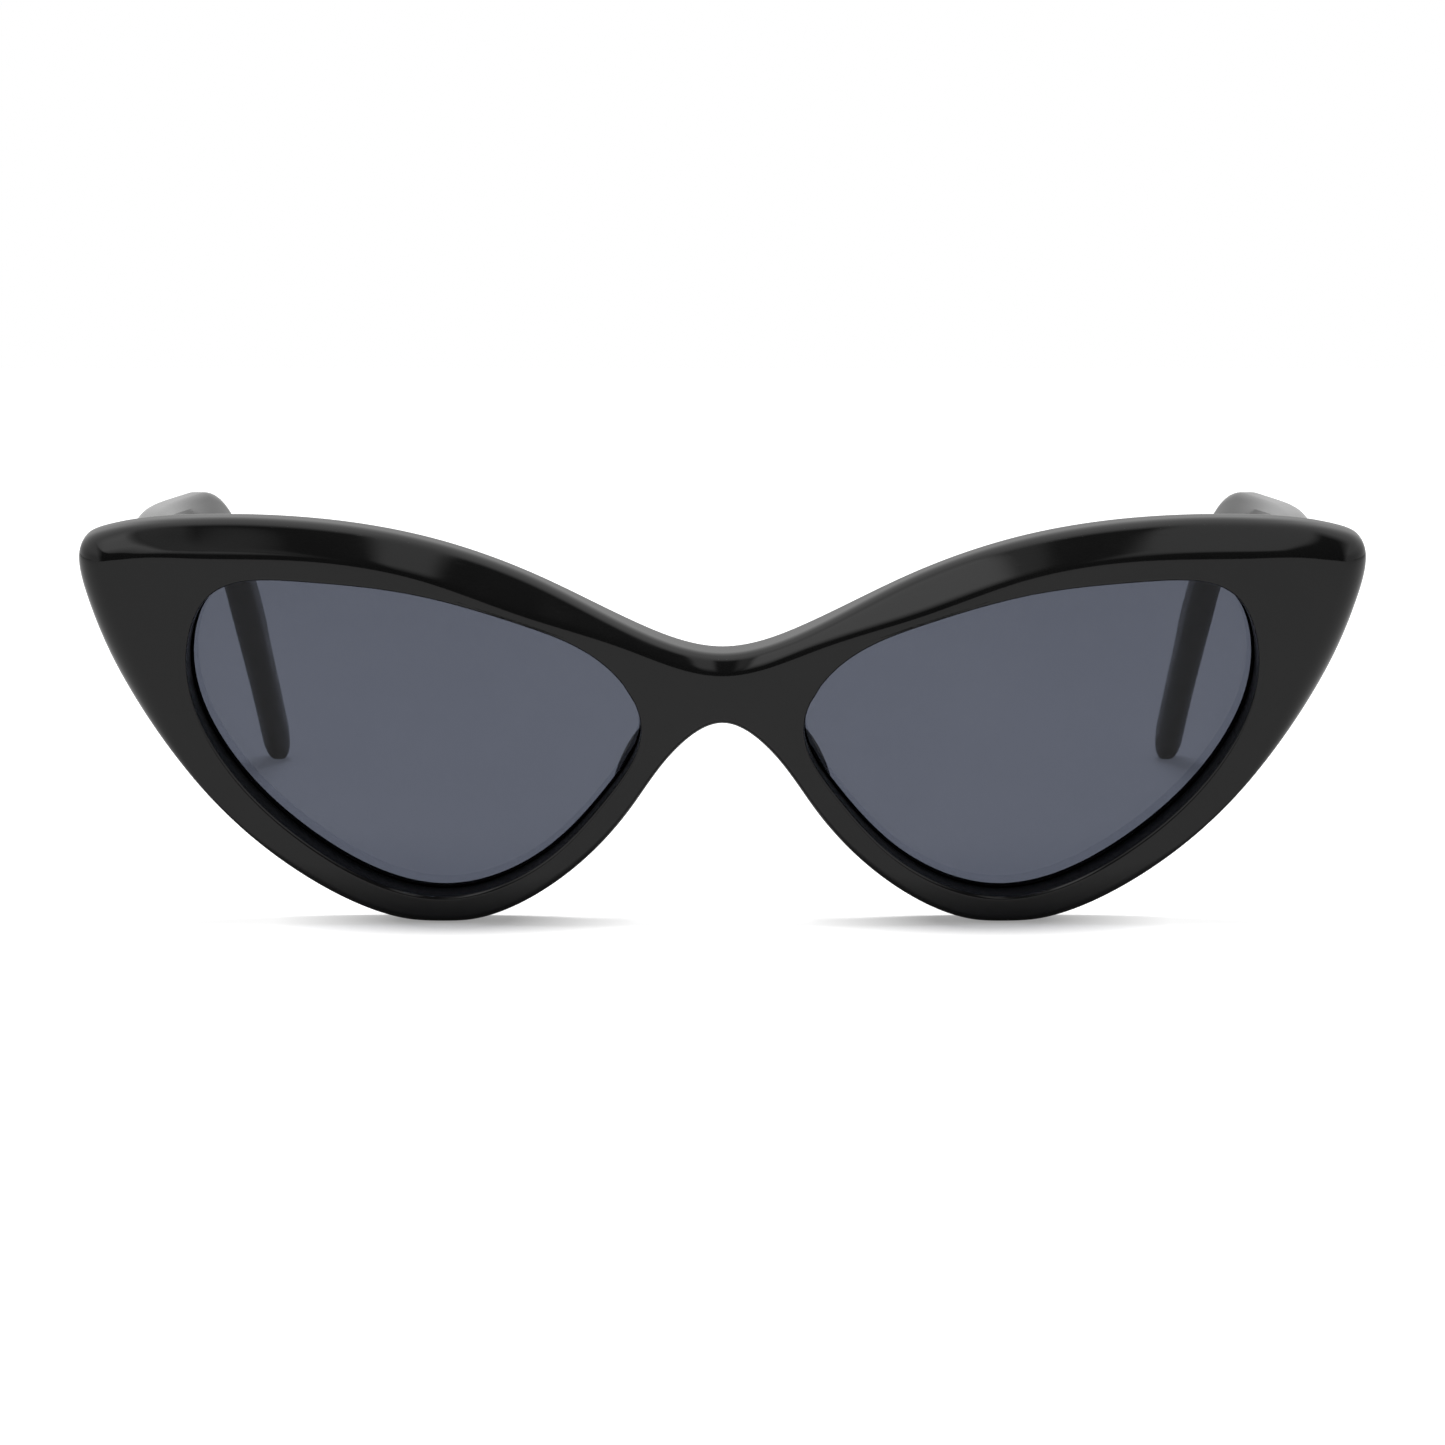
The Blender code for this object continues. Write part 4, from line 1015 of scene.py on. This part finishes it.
def new_group(name, inputs, outputs):
    """Empty shader node group with named number sockets; returns the group and its two end nodes."""
    group = bpy.data.node_groups.new(name, "ShaderNodeTree")
    for label, value in inputs.items():
        socket = group.interface.new_socket(label, in_out="INPUT", socket_type="NodeSocketFloat")
        socket.default_value = value
    for label in outputs:
        group.interface.new_socket(label, in_out="OUTPUT", socket_type="NodeSocketFloat")
    return group, group.nodes.new("NodeGroupInput"), group.nodes.new("NodeGroupOutput")


def add_noise(tree, vector, scale, detail):
    """Noise texture on a vector socket; scale is a number or a socket."""
    noise = tree.nodes.new("ShaderNodeTexNoise")
    noise.inputs["Detail"].default_value = detail
    tree.links.new(vector, noise.inputs["Vector"])
    if isinstance(scale, bpy.types.NodeSocket):
        tree.links.new(scale, noise.inputs["Scale"])
    else:
        noise.inputs["Scale"].default_value = scale
    return noise.outputs["Fac"]


def add_range(tree, value, low, high, to_low, to_high):
    """Maps a value from one range to another."""
    node = tree.nodes.new("ShaderNodeMapRange")
    node.inputs["From Min"].default_value = low
    node.inputs["From Max"].default_value = high
    node.inputs["To Min"].default_value = to_low
    node.inputs["To Max"].default_value = to_high
    tree.links.new(value, node.inputs["Value"])
    return node.outputs["Result"]


def add_math(tree, operation, first, second):
    """Math node on sockets or numbers."""
    node = tree.nodes.new("ShaderNodeMath")
    node.operation = operation
    for socket, value in zip(node.inputs, (first, second)):
        if isinstance(value, bpy.types.NodeSocket):
            tree.links.new(value, socket)
        else:
            socket.default_value = value
    return node.outputs["Value"]


def add_mix(tree, factor, first, second):
    """Mix of two colours by a factor socket."""
    node = tree.nodes.new("ShaderNodeMix")
    node.data_type = "RGBA"
    tree.links.new(factor, node.inputs["Factor"])
    node.inputs[MIX_FIRST].default_value = (*first, 1.0)
    node.inputs[MIX_SECOND].default_value = (*second, 1.0)
    return node.outputs[MIX_RESULT]


def object_place(tree, stretch=(1, 1, 1)):
    """Place on the object, stretched along its axes when asked."""
    place = tree.nodes.new("ShaderNodeTexCoord")
    mapping = tree.nodes.new("ShaderNodeMapping")
    mapping.inputs["Scale"].default_value = stretch
    tree.links.new(place.outputs["Object"], mapping.inputs["Vector"])
    return mapping.outputs["Vector"]


def polish_marks():
    """Group for buffed surfaces: cloudy haze, hairline rubs and the slow ripple that buffing leaves."""
    group, given, out = new_group(
        "polish marks",
        {"Haze Scale": 90.0, "Haze": 0.05, "Rubs": 0.05},
        ("Haze Mask", "Roughness Gain", "Ripple"),
    )
    place = object_place(group)
    cloud = add_noise(group, place, given.outputs["Haze Scale"], detail=5)
    haze = add_range(group, cloud, *HAZE_RANGE, 0, 1)
    lines = add_noise(group, object_place(group, RUB_STRETCH), RUB_SCALE, detail=2)
    rubs = add_range(group, lines, *RUB_RANGE, 0, 1)
    gain = add_math(group, "MULTIPLY", haze, given.outputs["Haze"])
    rub_gain = add_math(group, "MULTIPLY", rubs, given.outputs["Rubs"])
    ripple = add_noise(group, place, RIPPLE_SCALE, detail=1)
    group.links.new(haze, out.inputs["Haze Mask"])
    group.links.new(add_math(group, "ADD", gain, rub_gain), out.inputs["Roughness Gain"])
    group.links.new(add_math(group, "SUBTRACT", ripple, rub_gain), out.inputs["Ripple"])
    return group


def edge_rub():
    """Group for edges that handling has rubbed: a mask that is strongest on outer corners."""
    group, given, out = new_group("edge rub", {"Breakup Scale": 700.0}, ("Rub Mask",))
    shape = group.nodes.new("ShaderNodeNewGeometry")
    corner = add_range(group, shape.outputs["Pointiness"], *CORNER_RANGE, 0, 1)
    patches = add_noise(group, object_place(group), given.outputs["Breakup Scale"], detail=3)
    breakup = add_range(group, patches, *BREAKUP_RANGE, BREAKUP_LEAST, 1)
    group.links.new(add_math(group, "MULTIPLY", corner, breakup), out.inputs["Rub Mask"])
    return group


def place_group(material, group, values):
    """Puts a node group in a material with its own values."""
    node = material.node_tree.nodes.new("ShaderNodeGroup")
    node.node_tree = group
    for label, value in values.items():
        node.inputs[label].default_value = value
    return node


def new_material(name, constants):
    """Material whose shader sockets have these plain values."""
    material = bpy.data.materials.new(name)
    material.use_nodes = True
    shader = material.node_tree.nodes["Principled BSDF"]
    for label, value in constants.items():
        shader.inputs[label].default_value = value
    return material, shader


def add_bump(material, shader, height, strength, distance):
    """Bump on the shader's normal."""
    tree = material.node_tree
    bump = tree.nodes.new("ShaderNodeBump")
    bump.inputs["Strength"].default_value = strength
    bump.inputs["Distance"].default_value = distance
    tree.links.new(height, bump.inputs["Height"])
    tree.links.new(bump.outputs["Normal"], shader.inputs["Normal"])


def acetate_material(name, groups, dark, pale, shine, roughness, haze, ripple):
    """Black acetate: nearly black, with faint haze, rubs and ripple in its gloss."""
    material, shader = new_material(name, {"IOR": 1.48, "Specular IOR Level": shine})
    tree = material.node_tree
    marks = place_group(material, groups["polish"], {"Haze": haze, "Rubs": haze})
    rub = place_group(material, groups["edge"], {})
    tree.links.new(add_mix(tree, marks.outputs["Haze Mask"], dark, pale), shader.inputs["Base Color"])
    worn = add_math(tree, "MULTIPLY", rub.outputs["Rub Mask"], haze)
    gain = add_math(tree, "ADD", marks.outputs["Roughness Gain"], worn)
    tree.links.new(add_math(tree, "ADD", gain, roughness), shader.inputs["Roughness"])
    add_bump(material, shader, marks.outputs["Ripple"], ripple, RIPPLE_HEIGHT)
    return material


def buffed_acetate(groups):
    """Finish of the front and the temples."""
    return acetate_material(
        "buffed black acetate",
        groups,
        dark=(0.0030, 0.0031, 0.0031),
        pale=(0.005, 0.005, 0.005),
        shine=0.42,
        roughness=0.07,
        haze=0.04,
        ripple=0.03,
    )


def milled_acetate_and_lens_shade(groups):
    """Dull finish of the walls of the lens openings, also put on the edges of the lenses as painted shade.
    """
    return acetate_material(
        "milled black acetate with painted lens edge shade",
        groups,
        dark=(0.003, 0.003, 0.003),
        pale=(0.006, 0.006, 0.006),
        shine=0.10,
        roughness=0.35,
        haze=0.1,
        ripple=0.08,
    )


def tumbled_acetate(groups):
    """Soft finish of the nose pads."""
    return acetate_material(
        "tumbled black acetate",
        groups,
        dark=(0.006, 0.006, 0.006),
        pale=(0.011, 0.011, 0.011),
        shine=0.42,
        roughness=0.2,
        haze=0.1,
        ripple=0.08,
    )


def lens_material(groups):
    """Grey tinted lens that lets lamps through, with faint wiping haze on its faces."""
    constants = {"IOR": 1.5, "Transmission Weight": 1.0, "Specular Tint": LENS_COATING}
    material, shader = new_material("grey lens", constants)
    tree = material.node_tree
    marks = place_group(material, groups["polish"], {"Haze Scale": 60.0, "Haze": 0.012, "Rubs": 0.0})
    tint = add_mix(tree, marks.outputs["Haze Mask"], LENS_TINT, LENS_TINT_HAZE)
    tree.links.new(tint, shader.inputs["Base Color"])
    tree.links.new(marks.outputs["Roughness Gain"], shader.inputs["Roughness"])
    clear = tree.nodes.new("ShaderNodeBsdfTransparent")
    clear.inputs["Color"].default_value = (*LENS_SHADE, 1.0)
    path = tree.nodes.new("ShaderNodeLightPath")
    mix = tree.nodes.new("ShaderNodeMixShader")
    tree.links.new(path.outputs["Is Shadow Ray"], mix.inputs["Fac"])
    tree.links.new(shader.outputs["BSDF"], mix.inputs[1])
    tree.links.new(clear.outputs["BSDF"], mix.inputs[2])
    tree.links.new(mix.outputs["Shader"], tree.nodes["Material Output"].inputs["Surface"])
    return material


def metal_material(name, groups, bright, dull, roughness, brush):
    """Hinge metal with brushed lines, tarnish clouds and rubbed corners."""
    material, shader = new_material(name, {"Metallic": 1.0})
    tree = material.node_tree
    marks = place_group(material, groups["polish"], {"Haze Scale": 900.0, "Haze": 0.12, "Rubs": 0.1})
    rub = place_group(material, groups["edge"], {})
    tarnish = add_math(tree, "SUBTRACT", marks.outputs["Haze Mask"], rub.outputs["Rub Mask"])
    tree.links.new(add_mix(tree, tarnish, bright, dull), shader.inputs["Base Color"])
    rough = add_math(tree, "ADD", marks.outputs["Roughness Gain"], roughness)
    tree.links.new(rough, shader.inputs["Roughness"])
    lines = add_noise(tree, object_place(tree, brush), BRUSH_SCALE, detail=2)
    add_bump(material, shader, lines, BRUSH_STRENGTH, BRUSH_HEIGHT)
    return material


def nickel_silver(groups):
    """Metal of the hinge leaves and the core wires, brushed along one way."""
    return metal_material(
        "nickel silver",
        groups,
        bright=(0.66, 0.63, 0.58),
        dull=(0.46, 0.43, 0.38),
        roughness=0.24,
        brush=(1, 1, 0.05),
    )


def screw_steel(groups):
    """Metal of all the screws."""
    return metal_material(
        "screw steel",
        groups,
        bright=(0.72, 0.71, 0.70),
        dull=(0.52, 0.50, 0.48),
        roughness=0.18,
        brush=(1, 1, 1),
    )


def new_object(name, data):
    """Object with this data, put in the scene."""
    holder = bpy.data.objects.new(name, data)
    bpy.context.scene.collection.objects.link(holder)
    return holder


def finished_mesh(name, mesh, side, material):
    """Object from a mesh, moved from the front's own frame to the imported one; side -1 mirrors it."""
    for vert in mesh.verts:
        vert.co += SHIFT
        vert.co.x *= side
    if mesh.calc_volume(signed=True) < 0:
        bmesh.ops.reverse_faces(mesh, faces=mesh.faces[:])
    data = bpy.data.meshes.new(name)
    mesh.to_mesh(data)
    mesh.free()
    data.materials.append(material)
    return new_object(name, data)


def combine(piece, tool, operation):
    """Cuts a piece with a tool, or joins the tool to it, and removes the tool."""
    modifier = piece.modifiers.new(operation, "BOOLEAN")
    modifier.operation = operation
    modifier.solver = "EXACT"
    modifier.object = tool
    graph = bpy.context.evaluated_depsgraph_get()
    worked = bpy.data.meshes.new_from_object(piece.evaluated_get(graph))
    piece.modifiers.clear()
    piece.data = worked
    bpy.data.objects.remove(tool)


def cut(piece, cutters, side, material):
    """Cuts several solids out of a piece."""
    for cutter in cutters:
        combine(piece, finished_mesh("cutter", cutter, side, material), "DIFFERENCE")


def seat(piece, node, body, slot):
    """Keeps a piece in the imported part's box, smooths it and rides it on its body in its node's place."""
    for vert in piece.data.vertices:
        vert.co = [min(max(value, low), high) for low, value, high in zip(cad_low, vert.co, cad_high)]
    piece.data.shade_smooth()
    piece.data.set_sharp_from_angle(angle=SHARP_ANGLE)
    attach(piece, body)
    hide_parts(node)


def round_edges(piece, width):
    """Breaks the sharp edges of a metal piece."""
    bevel = piece.modifiers.new("broken edges", "BEVEL")
    bevel.width = width
    bevel.segments = 2
    bevel.limit_method = "ANGLE"
    bevel.angle_limit = SHARP_ANGLE
    bevel.harden_normals = True


def add_front(finishes):
    """Front with its hinge pockets and screw holes."""
    front = finished_mesh("polished_front", front_solid(), 1, finishes["acetate"])
    front.data.materials.append(finishes["wall"])
    for side in (1, -1):
        cutters = [front_pocket()] + [front_leaf_screw(spot, FIT) for spot in FRONT_SCREWS]
        cut(front, cutters, side, finishes["acetate"])
    seat(front, "front", "front_assembly", "acetate")


def add_lens_and_pad(side, word, finishes):
    """Lens in its groove, and the pad behind the nose side of the rim."""
    lens = finished_mesh(f"tinted_lens_{word}", lens_solid(), side, finishes["lens"])
    # the lens edge gets the dark wall finish: painted shade on the glass
    lens.data.materials.append(finishes["wall"])
    seat(lens, f"lens_{word}", "front_assembly", "lens")
    pad = finished_mesh(f"tumbled_pad_{word}", pad_solid(), side, finishes["pad"])
    seat(pad, f"nose_pad_{word}", "front_assembly", "pad")


def add_leaf(name, plate, knuckles, holes, side, finishes):
    """Hinge leaf: a plate with its knuckles, bored for the pin and drilled for its screws."""
    leaf = finished_mesh(name, plate, side, finishes["nickel"])
    combine(leaf, finished_mesh("knuckles", knuckles, side, finishes["nickel"]), "UNION")
    bore = turned(pin_profile(PIN_FIT), ROUND_STEPS, on_axis)
    cut(leaf, [bore] + holes, side, finishes["nickel"])
    round_edges(leaf, LEAF_EDGE)
    return leaf


def add_screw(name, solid, slot, side, finishes):
    """Screw with a driver slot."""
    screw = finished_mesh(name, solid, side, finishes["steel"])
    cut(screw, [slot], side, finishes["steel"])
    round_edges(screw, SCREW_EDGE)
    return screw


def add_hinge(side, word, finishes):
    """Both leaves of a hinge, its pin screw and the leaf screws."""
    front = ("front", "front_assembly", FRONT_SCREWS, front_leaf_screw)
    temple = ("temple", f"{word}_temple", TEMPLE_SCREWS, temple_leaf_screw)
    plates = ((front, front_leaf, front_knuckles), (temple, temple_leaf, temple_knuckles))
    for (part, body, spots, screw_solid), plate, knuckles in plates:
        holes = [screw_solid(spot, FIT) for spot in spots]
        leaf = add_leaf(f"nickel_{part}_leaf_{word}", plate(), knuckles(), holes, side, finishes)
        seat(leaf, f"{part}_leaf_{word}", body, "metal")
    pin = add_screw(f"steel_hinge_screw_{word}", hinge_screw(), hinge_slot(), side, finishes)
    seat(pin, f"hinge_screw_{word}", "front_assembly", "metal")
    for (part, body, spots, screw_solid), slot in ((front, front_screw_slot), (temple, temple_screw_slot)):
        for spot in spots:
            node = f"{part}_leaf_screw_{word}_{spot}"
            screw = add_screw(f"steel_{node}", screw_solid(spot, 0.0), slot(spot), side, finishes)
            seat(screw, node, body, "metal")


def add_temple(side, word, finishes):
    """Temple with its leaf pocket, screw holes and core bore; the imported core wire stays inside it."""
    temple = finished_mesh(f"polished_temple_{word}", temple_solid(), side, finishes["acetate"])
    holes = [temple_leaf_screw(spot, FIT) for spot in TEMPLE_SCREWS]
    cut(temple, [temple_pocket(), core_bore()] + holes, side, finishes["acetate"])
    seat(temple, f"temple_{word}", f"{word}_temple", "acetate")
    wire = frame["nodes"][f"core_wire_{word}"]
    wire.data.materials.clear()
    wire.data.materials.append(finishes["nickel"])


def background_rays(tree):
    """One for rays that should see the white background: from the camera, also through the lenses."""
    path = tree.nodes.new("ShaderNodeLightPath")
    return add_math(tree, "MAXIMUM", path.outputs["Is Camera Ray"], path.outputs["Is Transmission Ray"])


def rim_foot(side):
    """Place on the table under the lowest point of a rim."""
    row = next(row for row in RIM_STATIONS if row[0] == "bottom")
    place = on_front(*rim_point(*row[:3]), FRONT_THICKNESS / 2) + SHIFT
    return side * place.x, place.y, 0.0


def foot_distance(tree, side):
    """Distance along the table from the foot of a rim."""
    reach = tree.nodes.new("ShaderNodeVectorMath")
    reach.operation = "DISTANCE"
    reach.inputs[1].default_value = rim_foot(side)
    tree.links.new(object_place(tree), reach.inputs[0])
    return reach.outputs["Value"]


def add_floor():
    """Pale table that keeps the soft shadows under the rims, with a painted glow that is lower around the
    rim feet and covers the shadow further out, going over into the background.
    """
    mesh = bmesh.new()
    front, back, side = FLOOR_FRONT, FLOOR_BACK, FLOOR_SIDE
    corners = [(-side, front), (side, front), (side, back), (-side, back)]
    mesh.faces.new([mesh.verts.new((x, y, -FLOOR_GAP)) for x, y in corners])
    data = bpy.data.meshes.new("floor")
    mesh.to_mesh(data)
    mesh.free()
    floor = new_object("floor", data)
    material, shader = new_material("pale table with painted foot shade", {"Roughness": 0.9, "Specular IOR Level": 0.0})
    tree = material.node_tree
    shader.inputs["Emission Strength"].default_value = 1.0
    # painted shade near either rim foot, painted light further out: the glow rises with distance from the
    # nearer foot
    reach = add_math(tree, "MINIMUM", foot_distance(tree, 1), foot_distance(tree, -1))
    lift = add_range(tree, reach, LIFT_START, LIFT_END, PAINTED_SHADE_FOOT_LIFT, PAINTED_LIGHT_FLOOR_LIFT)
    glow = add_math(tree, "MULTIPLY", lift, background_rays(tree))
    tree.links.new(glow, shader.inputs["Emission Color"])
    cloud = add_noise(tree, object_place(tree), FLOOR_CLOUD_SCALE, detail=2)
    tree.links.new(add_mix(tree, cloud, FLOOR_COLOUR, FLOOR_CLOUD), shader.inputs["Base Color"])
    data.materials.append(material)


def between(tree, value, low, high, soft):
    """One where a value lies between two limits, with soft ends."""
    rise = add_range(tree, value, low - soft, low + soft, 0, 1)
    fall = add_range(tree, value, high - soft, high + soft, 1, 0)
    return add_math(tree, "MULTIPLY", rise, fall)


def add_world():
    """White background; in gloss, a dark room in front with window panes above it, and pale walls."""
    world = bpy.data.worlds.new("studio")
    bpy.context.scene.world = world
    world.use_nodes = True
    tree = world.node_tree
    place = tree.nodes.new("ShaderNodeTexCoord")
    split = tree.nodes.new("ShaderNodeSeparateXYZ")
    tree.links.new(place.outputs["Generated"], split.inputs["Vector"])
    x, y, z = split.outputs
    facing = add_range(tree, y, ROOM_BACK, ROOM_FRONT, 0, 1)
    aside = add_math(tree, "ABSOLUTE", x, 0.0)
    central = add_range(tree, aside, ROOM_SIDE, ROOM_SIDE + ROOM_SIDE_SOFT, 1, 0)
    ahead = add_math(tree, "MULTIPLY", facing, central)
    low = add_range(tree, z, ROOM_TOP - ROOM_TOP_SOFT, ROOM_TOP + ROOM_TOP_SOFT, 1, 0)
    lean = add_math(tree, "DIVIDE", x, add_math(tree, "MAXIMUM", z, LEAST_RISE))
    panes = None
    for first, last, level in PANES:
        pane = add_math(tree, "MULTIPLY", between(tree, lean, first, last, PANE_SOFT), level)
        panes = pane if panes is None else add_math(tree, "ADD", panes, pane)
    shown = add_math(tree, "MULTIPLY", panes, add_math(tree, "SUBTRACT", 1.0, low))
    room = add_math(tree, "ADD", shown, ROOM_LEVEL)
    sky = add_range(tree, z, SKY_START, SKY_FULL, HORIZON_LEVEL, 1.0)
    white = add_math(tree, "MULTIPLY", add_math(tree, "SUBTRACT", 1.0, ahead), sky)
    gloss = add_math(tree, "ADD", add_math(tree, "MULTIPLY", room, ahead), white)
    path = tree.nodes.new("ShaderNodeLightPath")
    level = tree.nodes.new("ShaderNodeMix")
    level.inputs["A"].default_value = FILL_LEVEL
    tree.links.new(path.outputs["Is Glossy Ray"], level.inputs["Factor"])
    tree.links.new(gloss, level.inputs["B"])
    light = tree.nodes["Background"]
    light.inputs["Color"].default_value = (1.0, 1.0, 1.0, 1.0)
    strength = add_math(tree, "MAXIMUM", level.outputs["Result"], background_rays(tree))
    tree.links.new(strength, light.inputs["Strength"])


def add_softbox():
    """Rectangular soft lamp above the glasses, which the gloss doesn't show."""
    lamp = bpy.data.lights.new("overhead softbox", "AREA")
    lamp.shape = "RECTANGLE"
    lamp.size = SOFTBOX_WIDTH
    lamp.size_y = SOFTBOX_DEPTH
    lamp.energy = SOFTBOX_POWER
    holder = new_object("overhead softbox", lamp)
    holder.location = SOFTBOX_PLACE
    aim = Vector(SOFTBOX_AIM) - Vector(SOFTBOX_PLACE)
    holder.rotation_euler = aim.to_track_quat("-Z", "Y").to_euler()
    holder.visible_glossy = False


def add_camera():
    """Camera at the photograph's height, looking slightly down on the middle of the front."""
    target = Vector((0.0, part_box("front")[0].y + AIM_DEPTH, AIM_HEIGHT))
    back = Vector((0.0, -math.cos(CAMERA_RISE), math.sin(CAMERA_RISE)))
    camera = bpy.data.cameras.new("camera")
    camera.sensor_width = SENSOR
    camera.lens = FOCAL_PIXELS / PHOTO_PIXELS * SENSOR
    holder = new_object("camera", camera)
    holder.location = target + back * CAMERA_DISTANCE
    holder.rotation_euler = (-back).to_track_quat("-Z", "Y").to_euler()
    bpy.context.scene.camera = holder


def main():
    """Builds the pieces with their finishes, and the studio around them."""
    groups = {"polish": polish_marks(), "edge": edge_rub()}
    finishes = {
        "acetate": buffed_acetate(groups),
        "wall": milled_acetate_and_lens_shade(groups),
        "pad": tumbled_acetate(groups),
        "lens": lens_material(groups),
        "nickel": nickel_silver(groups),
        "steel": screw_steel(groups),
    }
    add_front(finishes)
    for side, word in ((1, "left"), (-1, "right")):
        add_lens_and_pad(side, word, finishes)
        add_hinge(side, word, finishes)
        add_temple(side, word, finishes)
    add_floor()
    add_world()
    add_softbox()
    add_camera()
    bpy.context.scene.view_settings.view_transform = "Standard"


main()
